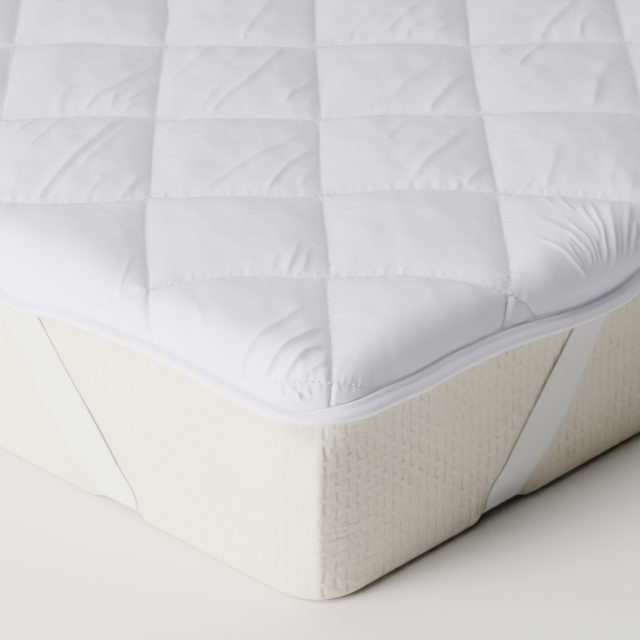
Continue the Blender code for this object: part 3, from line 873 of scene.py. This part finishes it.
def build_pad(bed, quilt, material):
    """The quilted pad: its worked face, and an underside that follows the mattress."""
    cores, outs, _ = bed.rim_stations(FINE_RIM, COARSE_RIM)
    count = len(cores)
    falls = bed.fall(outs, cores)
    outline = cores + outs * (FLAT_RADIUS + falls)[:, None]
    flat = np.concatenate((outline, quilt.points(cores, outs, falls)))
    edges = [(i, (i + 1) % count) for i in range(count)]
    verts, _, triangles, sources, _, _ = delaunay_2d_cdt([Vector(p) for p in flat], edges, [], 1, 1e-6)
    p = np.array([v[:] for v in verts])
    rim_vertex = {}
    for index, origins in enumerate(sources):
        for origin in origins:
            if origin < count:
                rim_vertex[origin] = index
    points = bed.lay(p, quilt.outer_height(p))
    faces = [list(t) for t in triangles]
    uv = [p]
    rings = [points]
    under = []
    total = len(points)
    for k in range(UNDERSIDE_RINGS):
        share = 1 - k / (UNDERSIDE_RINGS - 1)
        clear = GAP + (PAD_CLEARANCE - GAP) * float(smooth(np.array(3 * share)))
        ring = cores + outs * (FLAT_RADIUS + falls * share)[:, None]
        rings.append(bed.lay(ring, clear))
        uv.append(ring)
        under.append(list(range(total, total + count)))
        total += count
    for i in range(count):
        j = (i + 1) % count
        faces.append([rim_vertex[i], rim_vertex[j], under[0][j], under[0][i]])
        for outer, inner in zip(under, under[1:]):
            faces.append([outer[i], outer[j], inner[j], inner[i]])
    faces.append(under[-1])
    return make_object("quilted_pad", np.concatenate(rings), faces, material, np.concatenate(uv))


# ---- stitches


def seam_runs(bed):
    """Places along every seam at the stitches' pitch, as cells, one array a seam."""
    reach = int((bed.half_width + bed.half_length) * 1.5 / COLUMN_PITCH)
    runs = []
    for family, other_pitch, _ in FAMILIES:
        places = np.arange(-reach, reach, STITCH_PITCH / other_pitch)
        for k in range(-reach, reach):
            fixed = np.full(len(places), float(k))
            across, along = (fixed, places) if family == "column" else (places, fixed)
            p = seams_to_flat(across, along)
            past, out, core = bed.past_edge(p)
            inside = bed.fall(out, core) - past > STITCH_INSET
            if np.count_nonzero(inside) > 2:
                runs.append((across[inside], along[inside]))
    return runs


def build_stitches(bed, quilt, material):
    """Thread along the seams: each stitch is a small grain that dips in at both ends."""
    rng = random.Random(7)
    starts = []
    ends = []
    for across, along in seam_runs(bed):
        p = seams_to_flat(across, along)
        starts.append(p[:-1])
        ends.append(p[1:])
    starts = np.concatenate(starts)
    ends = np.concatenate(ends)
    apart = np.linalg.norm(ends - starts, axis=1)
    joined = apart < 1.6 * STITCH_PITCH
    starts = starts[joined]
    ends = ends[joined]
    jitter = np.array([rng.uniform(-1, 1) for _ in range(len(starts))])
    along = ends - starts
    first = starts + along * 0.10
    last = starts + along * (0.84 + 0.04 * jitter)[:, None]
    middle = (first + last) / 2
    seam = np.concatenate((first, middle, last))
    height = quilt.outer_height(seam)
    count = len(starts)
    height[:count] -= STITCH_DIP
    height[count : 2 * count] += STITCH_LIFT
    height[2 * count :] -= STITCH_DIP
    laid = bed.lay(seam, height)
    a, m, b = laid[:count], laid[count : 2 * count], laid[2 * count :]
    up = bed.lay(middle, height[count : 2 * count] + 0.001) - m
    return make_object("quilting_stitches", *thread_grains(a, m, b, up, STITCH_THICKNESS), material)


def thread_grains(a, m, b, up, thick):
    """Points and faces of small grains of thread, each from a over m to b."""
    way = b - a
    way = way / np.linalg.norm(way, axis=1)[:, None]
    up = up / np.linalg.norm(up, axis=1)[:, None]
    side = np.cross(way, up)
    quarter = (b - a) * 0.26
    rings = []
    for shift in (-1, 1):
        base = m + shift * quarter
        rings += [base + side * thick, base + up * thick, base - side * thick, base - up * thick]
    count = len(a)
    points = np.concatenate([a, b, *rings])
    faces = []
    for i in range(count):
        front = [i + count * (2 + k) for k in range(4)]
        back = [i + count * (6 + k) for k in range(4)]
        for k in range(4):
            n = (k + 1) % 4
            faces.append((i, front[n], front[k]))
            faces.append((front[k], front[n], back[n], back[k]))
            faces.append((i + count, back[k], back[n]))
    return points, faces


# ---- binding


class Binding:
    """Where the tape's outer face lies, at places round the rim."""

    def __init__(self, bed, fine, coarse):
        self.bed = bed
        self.cores, self.outs, self.round_rim = bed.rim_stations(fine, coarse)
        rim = self.cores + self.outs * PLAN_RADIUS
        self.top = bed.fall(self.outs, self.cores) + GAP
        self.depth = bed.along_rim(self.outs, self.cores, DEPTH_ALONG_END, DEPTH_ALONG_SIDE)
        self.depth += DEPTH_WANDER * soft_noise(rim, 0.060, 31)
        self.thick = 1 + THICKNESS_WANDER * soft_noise(rim, 0.045, 32)
        # the ledge turns into the lip round the corner
        angle = np.arctan2(np.abs(self.outs[:, 0]), np.abs(self.outs[:, 1]))
        self.lip = smooth((angle - LIP_BEGINS) / LIP_EASES)
        distance, on_end = bed.from_corner(self.outs, self.cores)
        anchor = np.where(on_end, STRAP_ANCHOR_END, STRAP_ANCHOR_SIDE)
        self.over_strap = smooth((OVER_STRAP - np.abs(distance - anchor)) / OVER_STRAP_EASES)

    def outer(self, share):
        """The outer face's height over the mattress at a share of the depth."""
        ledge = np.interp(share, *zip(*BINDING_LEDGE)) / 1000
        lip = np.interp(share, *zip(*BINDING_LIP)) / 1000
        height = ledge + (lip - ledge) * self.lip
        places = np.stack((self.round_rim, np.full(len(self.lip), 0.02 * share)), axis=1)
        waver = FACE_WAVER * soft_noise(places, 0.013, 33)
        return height * self.thick + waver * math.sin(math.pi * min(1.0, share + 0.1))

    def back(self):
        strap = STRAP_OFF_FACE + STRAP_THICKNESS + GAP
        return BINDING_BACK_CLEAR + (strap - BINDING_BACK_CLEAR) * self.over_strap

    def place(self, share, height):
        p = self.cores + self.outs * (FLAT_RADIUS + self.top + self.depth * share)[:, None]
        return self.bed.lay(p, height)


def build_binding(bed, material):
    """A soft folded tape, rolled over the pad's raw edge and sewn at its top."""
    binding = Binding(bed, FINE_RIM * 1.15, COARSE_RIM)
    shares = sorted({share for share, _ in BINDING_LEDGE + BINDING_LIP})
    points = []
    uv = []
    for share in shares:
        points.append(binding.place(share, binding.outer(share)))
        uv.append(np.stack((binding.round_rim, binding.depth * share), axis=1))
    for share in BINDING_BACK:
        points.append(binding.place(share, binding.back()))
        uv.append(np.stack((binding.round_rim, binding.depth * (2 - share)), axis=1))
    sides = len(points)
    points = np.stack(points, axis=1).reshape(-1, 3)
    uv = np.stack(uv, axis=1).reshape(-1, 2)
    faces = []
    total = len(points)
    for i in range(0, total, sides):
        j = (i + sides) % total
        for k in range(sides):
            n = (k + 1) % sides
            faces.append((i + k, i + n, j + n, j + k))
    return make_object("rim_binding", points, faces, material, uv)


def build_tape_stitches(bed, material):
    """The topstitching by the tape's upper edge, along the long sides."""
    binding = Binding(bed, TAPE_STITCH_PITCH, TAPE_STITCH_PITCH)
    height = binding.outer(BINDING_STITCH)
    ends = binding.place(BINDING_STITCH, height - 0.0002)
    high = binding.place(BINDING_STITCH, height + 0.0005)
    above = binding.place(BINDING_STITCH, height + 0.0015) - high
    nexts = np.roll(ends, -1, axis=0)
    first = ends + (nexts - ends) * 0.12
    last = ends + (nexts - ends) * 0.86
    middle = (high + np.roll(high, -1, axis=0)) / 2
    # along the short ends and round the corners they are hidden in the fold
    seen = binding.lip > 0.95
    grains = thread_grains(first[seen], middle[seen], last[seen], above[seen], TAPE_STITCH_THICKNESS)
    return make_object("tape_stitches", *grains, material)


# ---- straps, laid out on the underside spread flat, as in the part's source


class StrapRoute:
    """The layout of one strap: a runs in from the long side and b from the short end,
    both from where the lower edge begins to round, and below 0 round that edge."""

    def __init__(self, bed):
        self.bed = bed

    def wrap(self, a, b, offset):
        """Folds the layout up round the front right corner's two edges."""

        def fold(run):
            if run >= 0:
                return BOTTOM_RADIUS + run, -offset
            bend = min(-run / BOTTOM_RADIUS, math.pi / 2)
            rise = max(0.0, -run - LOWER_ARC)
            radius = BOTTOM_RADIUS + offset
            inward = BOTTOM_RADIUS - radius * math.sin(bend)
            return inward, BOTTOM_RADIUS - radius * math.cos(bend) + rise

        if b < 0:
            inward, z = fold(b)
            return Vector((self.bed.half_width - BOTTOM_RADIUS - a, inward - self.bed.half_length, z))
        inward, z = fold(a)
        return Vector((self.bed.half_width - inward, BOTTOM_RADIUS + b - self.bed.half_length, z))

    @staticmethod
    def middle(anchor, level):
        """Where a leg's middle lies at a level, measured from the corner."""
        anchor_level = -(LOWER_ARC + STRAP_ANCHOR_HEIGHT - BOTTOM_RADIUS)
        return anchor - BOTTOM_RADIUS - (level - anchor_level) * math.tan(STRAP_SLANT)

    @staticmethod
    def rest(level):
        """The strap's inner face over the mattress's surface: below 0 is pressed in."""
        ease = smooth(level / PRESS_EASES)
        under = -STRAP_PRESS_EDGE + (STRAP_PRESS_EDGE - STRAP_PRESS_UNDER) * ease
        up_face = np.maximum(0.0, -level - LOWER_ARC)
        off = smooth(up_face / (PRESS_RUNS_OUT - BOTTOM_RADIUS))
        face = -STRAP_PRESS_EDGE + (STRAP_PRESS_EDGE + STRAP_OFF_FACE) * off
        return np.where(level > 0, under, face)

    @staticmethod
    def tuck(level):
        """How much of a leg's near edge is tucked in at a level."""
        eased_in = smooth((level + TUCK_BEGINS) / TUCK_EASES)
        return FOOT_TUCK * eased_in * (1 - smooth(level / PRESS_EASES))

    def leg(self, anchor, near_gather, far_gather):
        """Cuts across one leg, from its sewn end, where it is gathered in a little from
        both edges, to just under the mattress."""
        half_cut = STRAP_WIDTH / 2 / math.cos(STRAP_SLANT)
        free = np.linspace(STRAP_TOP, PRESS_RUNS_OUT, 12)
        pressed = np.linspace(PRESSED_FROM, BOTTOM_RADIUS, 10)
        levels = list(-(LOWER_ARC + np.concatenate((free, pressed)) - BOTTOM_RADIUS))
        levels += [LOWER_ARC * ((k + 0.5) / 9 - 1) for k in range(9)]
        levels += [PRESS_EASES * (k + 1) / 6 for k in range(6)]
        cuts = []
        for level in levels:
            middle = self.middle(anchor, level)
            gather = float(smooth((-level - GATHER_BEGINS) / GATHER_EASES))
            near = middle - half_cut + near_gather * gather + float(self.tuck(level))
            far = middle + half_cut - far_gather * gather
            cuts.append((near, far, level))
        return cuts

    def cuts(self):
        """Cuts across the whole strap, as (near the corner, far from it, level)."""
        end_leg = self.leg(STRAP_ANCHOR_END, *GATHER_END)
        side_leg = self.leg(STRAP_ANCHOR_SIDE, *GATHER_SIDE)
        cuts = [(Vector((n, b)), Vector((f, b)), b) for n, f, b in end_leg]
        down = Vector((-math.sin(STRAP_SLANT), math.cos(STRAP_SLANT)))
        up = Vector((-math.cos(STRAP_SLANT), math.sin(STRAP_SLANT)))
        near_end, far_end, _ = cuts[-1]
        near_side = Vector((side_leg[-1][2], side_leg[-1][0]))
        far_side = Vector((side_leg[-1][2], side_leg[-1][1]))
        steps = 14
        for k in range(1, steps):
            near = bezier(near_end, down, near_side, up, k / steps)
            far = bezier(far_end, down, far_side, up, k / steps)
            cuts.append((near, far, PRESS_EASES))
        cuts += [(Vector((a, n)), Vector((a, f)), a) for n, f, a in reversed(side_leg)]
        return cuts


def bezier(start, start_way, end, end_way, t):
    pull = (end - start).length / 3
    handles = (start, start + start_way * pull, end - end_way * pull, end)
    weights = ((1 - t) ** 3, 3 * t * (1 - t) ** 2, 3 * t * t * (1 - t), t**3)
    return sum((h * w for h, w in zip(handles, weights)), Vector((0.0, 0.0)))


def strap_section():
    """Shares across the strap and through its thickness, round its rounded edges."""
    section = []
    for side in (1, -1):
        spots = np.linspace(0.012, 0.988, 9)
        for share in spots if side == 1 else reversed(spots):
            section.append((share, 0.5 + 0.5 * side))
        section.append((1.0, 0.5) if side == 1 else (0.0, 0.5))
    return section


def build_strap(route, name, corner, material):
    """One elastic strap, from behind the rim, under the corner and up again."""
    sx, sy = corner
    section = strap_section()
    points = []
    uv = []
    cuts = route.cuts()
    travelled = 0.0
    last_middle = None
    for near, far, level in cuts:
        rest = float(route.rest(np.array(level)))
        middle = route.wrap(*((near + far) / 2), rest)
        if last_middle is not None:
            travelled += (middle - last_middle).length
        last_middle = middle
        for across, through in section:
            spot = near.lerp(far, across)
            place = route.wrap(spot.x, spot.y, rest + STRAP_THICKNESS * through)
            points.append((place.x * sx, place.y * -sy, place.z))
            uv.append((across * STRAP_WIDTH, travelled))
    count = len(section)
    faces = [tuple(range(count))]
    for i in range(0, len(points) - count, count):
        for k in range(count):
            n = (k + 1) % count
            faces.append((i + k, i + n, i + n + count, i + k + count))
    faces.append(tuple(range(len(points) - count, len(points))))
    ob = make_object("elastic_" + name, points, faces, material, uv)
    return ob, travelled


# ---- mattress

CORNER_SHARPNESS = 0.45  # of its upright corners: 1 would be square, 0 fully round
CORNER_TOP = 0.126  # the height over the floor at which that begins, under the binding
CORNER_EASES = 0.012
FOOT_SHARPNESS = 0.35  # the share of it that is left at the floor
FOOT_EASES = 0.045
SWELL = 0.0007  # by which the faces belly out
HELD_DOWN = 0.022  # from a strap's middle, where they don't
HELD_EASES = 0.012
MATTRESS_MESH = (0.004, 0.012)  # steps round it, by the photographed corner and elsewhere


def press_depth(route, across, level, anchor):
    """How far a strap's leg presses the mattress's face in, at a place on that face."""
    off = across - route.middle(anchor, level)
    away = np.where(off < 0, route.tuck(level) - off, off) * math.cos(STRAP_SLANT)
    hold = 1 - smooth((away - STRAP_WIDTH / 2 - 0.0008) / PRESS_SPREAD)
    return np.maximum(0.0, -(route.rest(level) - GAP)) * hold


def mattress_levels(bed):
    """The levels of the mattress's rings, and that at which its top edge begins to round."""
    levels = [PRESS_EASES * k / 4 for k in range(4, 0, -1)]
    levels += [LOWER_ARC * (k / 8 - 1) for k in range(8, -1, -1)]
    by_straps = np.linspace(0.012, 0.044, 9)
    over_them = np.linspace(0.052, bed.thickness - TOP_RADIUS, 14)
    levels += list(-(LOWER_ARC + np.concatenate((by_straps, over_them)) - BOTTOM_RADIUS))
    straight_top = levels[-1]
    top_arc = TOP_RADIUS * math.pi / 2
    return levels + [straight_top - top_arc * k / 8 for k in range(1, 9)], straight_top


def mattress_profile(bed, level, straight_top):
    """At a level: how far in from the face, how high, and from 0 to 1 how upright."""
    rise = -level
    if level > 0:
        # the underside is a little hollow inside its foot, so that the straps lie under it
        hollow = (STRAP_PRESS_UNDER + GAP) * float(smooth(level / PRESS_EASES))
        return BOTTOM_RADIUS + level, hollow, 0.0
    if rise < LOWER_ARC:
        bend = rise / BOTTOM_RADIUS
        inset = BOTTOM_RADIUS * (1 - math.sin(bend))
        return inset, BOTTOM_RADIUS * (1 - math.cos(bend)), math.sin(bend)
    if rise <= -straight_top + 1e-9:
        return 0.0, rise - LOWER_ARC + BOTTOM_RADIUS, 1.0
    bend = (rise + straight_top) / TOP_RADIUS
    z = bed.thickness - TOP_RADIUS * (1 - math.sin(bend))
    return TOP_RADIUS * (1 - math.cos(bend)), z, math.cos(bend)


def build_mattress(bed, route, material):
    """A soft block with sewn upright corners, pressed in where the straps pass."""
    cores, outs, round_rim = bed.rim_stations(*MATTRESS_MESH)
    count = len(cores)
    from_corner, on_end = bed.from_corner(outs, cores)
    across = from_corner - BOTTOM_RADIUS
    anchor = np.where(on_end, STRAP_ANCHOR_END, STRAP_ANCHOR_SIDE)
    # the corner's seam: the two faces meet in a low ridge
    ridge = PLAN_RADIUS * (1 / np.max(np.abs(outs), axis=1) - 1)
    levels, straight_top = mattress_levels(bed)
    points = []
    uv = []
    for level in levels:
        inset, z, upright = mattress_profile(bed, level, straight_top)
        pressed = press_depth(route, across, np.full(count, level), anchor)
        # the face bellies out a little between its edges, unevenly
        mid = math.sin(math.pi * min(1.0, max(0.0, z / bed.thickness)))
        uneven = soft_noise(np.stack((round_rim, np.full(count, z)), axis=1), 0.09, 41)
        swell = SWELL * mid * uneven
        from_foot = FOOT_SHARPNESS + (1 - FOOT_SHARPNESS) * smooth(z / FOOT_EASES)
        sharp = smooth((CORNER_TOP - z) / CORNER_EASES) * from_foot
        swell += CORNER_SHARPNESS * float(sharp) * ridge * upright
        offset = swell * (1 - smooth(pressed / 0.0005))
        # and stays under the straps
        from_strap = np.abs(across - route.middle(anchor, level)) * math.cos(STRAP_SLANT)
        near_strap = 1 - smooth((from_strap - HELD_DOWN) / HELD_EASES)
        under_strap = np.minimum(offset, GAP + 0.003 * (1 - near_strap))
        offset = np.where(near_strap > 0, under_strap, offset)
        move = offset - pressed
        flat = cores + outs * (PLAN_RADIUS - inset + move * upright)[:, None]
        height = np.maximum(z, pressed) if level > 0 else z + pressed * (1 - upright)
        points.append(np.column_stack((flat, np.broadcast_to(height, count))))
        uv.append(np.stack((round_rim, np.full(count, -level)), axis=1))
    points = np.concatenate(points)
    uv = np.concatenate(uv)
    faces = [tuple(range(count)), tuple(range(len(points) - count, len(points)))]
    for a in range(0, len(points) - count, count):
        for i in range(count):
            j = (i + 1) % count
            faces.append((a + i, a + j, a + j + count, a + i + count))
    return make_object("mattress_body", points, faces, material, uv)


# ---- materials

KNIT_ACROSS = 0.0086
KNIT_UP = 0.0135
KNIT_PALE = (0.830, 0.765, 0.600)
KNIT_DEEP = (0.795, 0.722, 0.550)
# painted shade inside the slits, a little darker than the knit's own tone
KNIT_SLIT_SHADE = (0.765, 0.690, 0.530)


class Nodes:
    """A short way to write a material's node tree."""

    def __init__(self, name, roughness, sheen=0.0, sheen_roughness=0.5, specular=0.25):
        self.material = bpy.data.materials.new(name)
        self.material.use_nodes = True
        self.tree = self.material.node_tree
        self.shader = self.tree.nodes["Principled BSDF"]
        self.shader.inputs["Roughness"].default_value = roughness
        self.shader.inputs["Sheen Weight"].default_value = sheen
        self.shader.inputs["Sheen Roughness"].default_value = sheen_roughness
        self.shader.inputs["Specular IOR Level"].default_value = specular

    def add(self, kind, *links, **settings):
        node = self.tree.nodes.new("ShaderNode" + kind)
        for key, value in settings.items():
            setattr(node, key, value)
        for socket, value in links:
            self.feed(node.inputs[socket], value)
        return node

    def feed(self, socket, value):
        if isinstance(value, bpy.types.NodeSocket):
            self.tree.links.new(value, socket)
        else:
            socket.default_value = value

    def math(self, operation, *values):
        node = self.tree.nodes.new("ShaderNodeMath")
        node.operation = operation
        for k, value in enumerate(values):
            self.feed(node.inputs[k], value)
        return node.outputs[0]

    def noise(self, vector, scale, detail=2.0, roughness=0.5):
        links = (("Vector", vector), ("Scale", scale), ("Detail", detail), ("Roughness", roughness))
        return self.add("TexNoise", *links).outputs["Fac"]

    def fade(self, value, low, high, start=0.0, end=1.0, interpolation="LINEAR"):
        """Goes from start to end as value goes from low to high."""
        source = (("Value", value), ("From Min", low), ("From Max", high))
        target = (("To Min", start), ("To Max", end))
        node = self.add("MapRange", *source, *target, interpolation_type=interpolation)
        return node.outputs["Result"]

    def between(self, share, low, high):
        """A colour that goes from low to high as share goes from 0 to 1."""
        mix = self.tree.nodes.new("ShaderNodeMix")
        mix.data_type = "RGBA"
        self.feed(mix.inputs["Factor"], share)
        for name, colour in (("A", low), ("B", high)):
            made = isinstance(colour, bpy.types.NodeSocket)
            self.feed(mix.inputs[name], colour if made else (*colour, 1.0))
        return mix.outputs["Result"]

    def bump(self, height, distance, strength=1.0, under=None):
        links = [("Height", height), ("Distance", distance), ("Strength", strength)]
        if under is not None:
            links.append(("Normal", under))
        return self.add("Bump", *links).outputs["Normal"]

    def coordinates(self):
        coordinates = self.tree.nodes.new("ShaderNodeTexCoord")
        return coordinates.outputs["Object"], coordinates.outputs["UV"]

    def split(self, vector):
        node = self.add("SeparateXYZ", ("Vector", vector))
        return node.outputs["X"], node.outputs["Y"]

    def wave(self, run, pitch):
        """A sine along a run, from 0 to 1, one period to each pitch."""
        turned = self.math("SINE", self.math("MULTIPLY", run, math.tau / pitch))
        return self.math("MULTIPLY_ADD", turned, 0.5, 0.5)

    def set(self, colour, normal, roughness=None):
        self.feed(self.shader.inputs["Base Color"], colour)
        self.feed(self.shader.inputs["Normal"], normal)
        if roughness is not None:
            self.feed(self.shader.inputs["Roughness"], roughness)
        return self.material


def cotton_material():
    """Smooth close-woven white cotton with faint crumples."""
    n = Nodes("topper cotton", 0.85, sheen=0.10, specular=0.20)
    place, flat = n.coordinates()
    u, v = n.split(flat)
    crumple = n.noise(place, 90.0, 3.0, 0.55)
    tone = n.noise(place, 14.0, 2.0)
    weave = n.math("MULTIPLY", n.wave(u, 0.0007), n.wave(v, 0.0007))
    colour = n.between(tone, (0.842, 0.814, 0.948), (0.872, 0.844, 0.978))
    normal = n.bump(crumple, 0.0012, 0.35)
    normal = n.bump(weave, 0.0001, 0.30, normal)
    roughness = n.math("MULTIPLY_ADD", crumple, 0.12, 0.78)
    return n.set(colour, normal, roughness)


def tape_material():
    """Soft white folded tape, with a fine rib across it."""
    n = Nodes("binding tape", 0.80, sheen=0.45, specular=0.20)
    place, flat = n.coordinates()
    run, _ = n.split(flat)
    crumple = n.noise(place, 160.0, 2.0)
    tone = n.noise(place, 20.0, 2.0)
    colour = n.between(tone, (0.885, 0.860, 0.955), (0.912, 0.888, 0.980))
    normal = n.bump(crumple, 0.0007, 0.30)
    normal = n.bump(n.wave(run, 0.0009), 0.00010, 0.35, normal)
    return n.set(colour, normal, n.math("MULTIPLY_ADD", crumple, 0.10, 0.74))


def thread_material():
    n = Nodes("quilting thread", 0.60, specular=0.30)
    place, _ = n.coordinates()
    twist = n.noise(place, 1600.0, 1.0)
    colour = n.between(twist, (0.82, 0.82, 0.84), (0.92, 0.92, 0.93))
    return n.set(colour, n.bump(twist, 0.0002, 0.5))


def elastic_material():
    """Flat woven elastic: fine ribs along it, crossed by finer ones."""
    n = Nodes("woven elastic", 0.62, specular=0.35)
    place, flat = n.coordinates()
    across, run = n.split(flat)
    ribs = n.wave(across, 0.0016)
    rungs = n.wave(run, 0.0009)
    tone = n.noise(place, 40.0, 2.0)
    colour = n.between(tone, (0.80, 0.80, 0.785), (0.84, 0.84, 0.825))
    normal = n.bump(ribs, 0.00014, 0.5)
    normal = n.bump(rungs, 0.00008, 0.4, normal)
    return n.set(colour, normal, n.math("MULTIPLY_ADD", tone, 0.10, 0.58))


def knit_material():
    """Cream knit with small staggered cells: upright slits between low lumps, the slits painted a little
    darker as shade.
    """
    n = Nodes("mattress knit", 0.92, sheen=0.20, specular=0.12)
    place, flat = n.coordinates()
    run, rise = n.split(flat)
    wander = n.noise(place, 55.0, 2.0)
    run = n.math("ADD", run, n.math("MULTIPLY_ADD", wander, 0.0060, -0.0030))
    column = n.math("DIVIDE", run, KNIT_ACROSS)
    column_start = n.math("FLOOR", column)
    in_column = n.math("SUBTRACT", column, column_start)
    stagger = n.math("MULTIPLY", n.math("PINGPONG", column_start, 1.0), 0.5)
    row = n.math("ADD", n.math("DIVIDE", rise, KNIT_UP), stagger)
    in_row = n.math("FRACT", row)
    off_line = n.math("ABSOLUTE", n.math("SUBTRACT", in_column, 0.5))
    off_mid = n.math("ABSOLUTE", n.math("SUBTRACT", in_row, 0.5))
    slit = n.fade(off_line, 0.02, 0.30, interpolation="SMOOTHSTEP")
    ends = n.fade(off_mid, 0.22, 0.46, interpolation="SMOOTHSTEP")
    # 0 in a slit and 1 between slits, for the slits' relief and their painted shade; some slits are fainter
    # than others
    patchy = n.math("MULTIPLY_ADD", n.noise(place, 30.0, 2.0), 1.6, -0.35)
    open_slit = n.math("SUBTRACT", 1.0, n.math("MAXIMUM", slit, ends))
    slit_relief_and_shade = n.math("SUBTRACT", 1.0, n.math("MULTIPLY", open_slit, n.math("MAXIMUM", patchy, 0.15)))
    fuzz = n.noise(place, 420.0, 3.0, 0.6)
    lumps = n.noise(place, 150.0, 2.0, 0.5)
    tone = n.noise(place, 12.0, 3.0)
    # the slits get painted shade, and the lumps between them the knit's own random tone
    colour = n.between(slit_relief_and_shade, KNIT_SLIT_SHADE, n.between(tone, KNIT_DEEP, KNIT_PALE))
    # the cover lies flatter over the short ends than along the sides
    away_x, away_y = (n.math("ABSOLUTE", away) for away in n.split(place))
    relief = n.fade(away_x, 0.436, 0.448, start=0.20)
    normal = n.bump(n.math("MULTIPLY", slit_relief_and_shade, relief), 0.0022, 0.70)
    normal = n.bump(n.math("MULTIPLY", lumps, relief), 0.0024, 0.50, normal)
    # and it is wrinkled crosswise by its sewn upright corners
    near_x = n.fade(away_x, 0.400, 0.438)
    near_y = n.fade(away_y, 0.850, 0.930)
    level = n.add("Mapping", ("Vector", place), ("Scale", (1.0, 1.0, 5.0))).outputs["Vector"]
    wrinkle = n.math("MULTIPLY", n.noise(level, 40.0, 2.0), n.math("MULTIPLY", near_x, near_y))
    normal = n.bump(wrinkle, 0.0040, 0.55, normal)
    normal = n.bump(fuzz, 0.0006, 0.45, normal)
    return n.set(colour, normal)


def floor_material():
    n = Nodes("pale floor", 0.70, specular=0.20)
    place, _ = n.coordinates()
    tone = n.noise(place, 1.2, 2.0)
    grain = n.noise(place, 300.0, 2.0)
    colour = n.between(tone, (0.890, 0.882, 0.842), (0.920, 0.912, 0.872))
    return n.set(colour, n.bump(grain, 0.0003, 0.15))


# ---- stage

FLOOR_REACH = 14.0
FLOOR_CLEARANCE = 0.0006  # under the mattress


def add_camera():
    data = bpy.data.cameras.new("photo_camera")
    data.lens = CAMERA_LENS
    data.sensor_width = SENSOR_WIDTH
    data.clip_start = 0.1
    data.clip_end = 60.0
    camera = bpy.data.objects.new("photo_camera", data)
    turn = Matrix.Rotation(CAMERA_HEADING, 4, "Z")
    tip = Matrix.Rotation(math.pi / 2 - CAMERA_PITCH, 4, "X")
    roll = Matrix.Rotation(CAMERA_ROLL, 4, "Z")
    camera.matrix_world = Matrix.Translation(CAMERA_PLACE) @ turn @ tip @ roll
    bpy.context.scene.collection.objects.link(camera)
    bpy.context.scene.camera = camera


def add_floor():
    mesh = bpy.data.meshes.new("floor")
    ways = ((-1, -1), (1, -1), (1, 1), (-1, 1))
    mesh.from_pydata([(x * FLOOR_REACH, y * FLOOR_REACH, 0) for x, y in ways], [], [(0, 1, 2, 3)])
    mesh.materials.append(floor_material())
    floor = bpy.data.objects.new("floor", mesh)
    floor.location.z = -FLOOR_CLEARANCE
    bpy.context.scene.collection.objects.link(floor)


# Each light's way from the photographed corner in degrees, clockwise from +Y seen from
# above, and up, and then its power in watts or, for the fill, a sun's strength
LAMP_AIM = (0.45, -0.95, 0.10)
LAMP_DISTANCE = 2.0
LAMP_SIZE = 0.9
LAMPS = {"low": (200, 10, 115.0), "middle": (210, 38, 32.0), "high": (190, 52, 32.0)}
FILL = (300, 60, 2.1)
FILL_SPREAD = math.radians(70)
WORLD_STRENGTH = 0.01


def add_light(kind, name, azimuth, elevation, energy):
    """A light that shines on the photographed corner, and the way from there to it."""
    azimuth = math.radians(azimuth)
    elevation = math.radians(elevation)
    flat = math.cos(elevation)
    way = Vector((math.sin(azimuth) * flat, math.cos(azimuth) * flat, math.sin(elevation)))
    data = bpy.data.lights.new(name, kind)
    data.energy = energy
    light = bpy.data.objects.new(name, data)
    light.rotation_mode = "QUATERNION"
    light.rotation_quaternion = (-way).to_track_quat("-Z", "Y")
    bpy.context.scene.collection.objects.link(light)
    return light, way


def add_lights():
    for name, lamp in LAMPS.items():
        light, way = add_light("AREA", name + "_lamp", *lamp)
        light.data.shape = "DISK"
        light.data.size = LAMP_SIZE
        light.location = Vector(LAMP_AIM) + way * LAMP_DISTANCE
    fill, _ = add_light("SUN", "fill", *FILL)
    fill.data.angle = FILL_SPREAD
    world = bpy.data.worlds.new("studio")
    world.use_nodes = True
    background = world.node_tree.nodes["Background"]
    background.inputs["Color"].default_value = (0.97, 0.98, 1.0, 1.0)
    background.inputs["Strength"].default_value = WORLD_STRENGTH
    bpy.context.scene.world = world


# ---- the whole


def main():
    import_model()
    add_camera()
    add_floor()
    add_lights()
    bed = Bed()
    route = StrapRoute(bed)

    cotton = cotton_material()
    quilt = Quilt(bed)
    pad = build_pad(bed, quilt, cotton)
    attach(pad, "root")
    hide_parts("topper_pad")

    thread = thread_material()
    stitches = build_stitches(bed, quilt, thread)
    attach(stitches, "root")

    binding = build_binding(bed, tape_material())
    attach(binding, "root")
    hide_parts("edge_binding")

    tape_stitches = build_tape_stitches(bed, thread)
    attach(tape_stitches, "root")

    mattress = build_mattress(bed, route, knit_material())
    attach(mattress, "root")
    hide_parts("mattress")

    elastic = elastic_material()
    for name, corner in CORNERS.items():
        strap, length = build_strap(route, name, corner, elastic)
        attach(strap, "root")
        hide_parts("strap_" + name)


main()
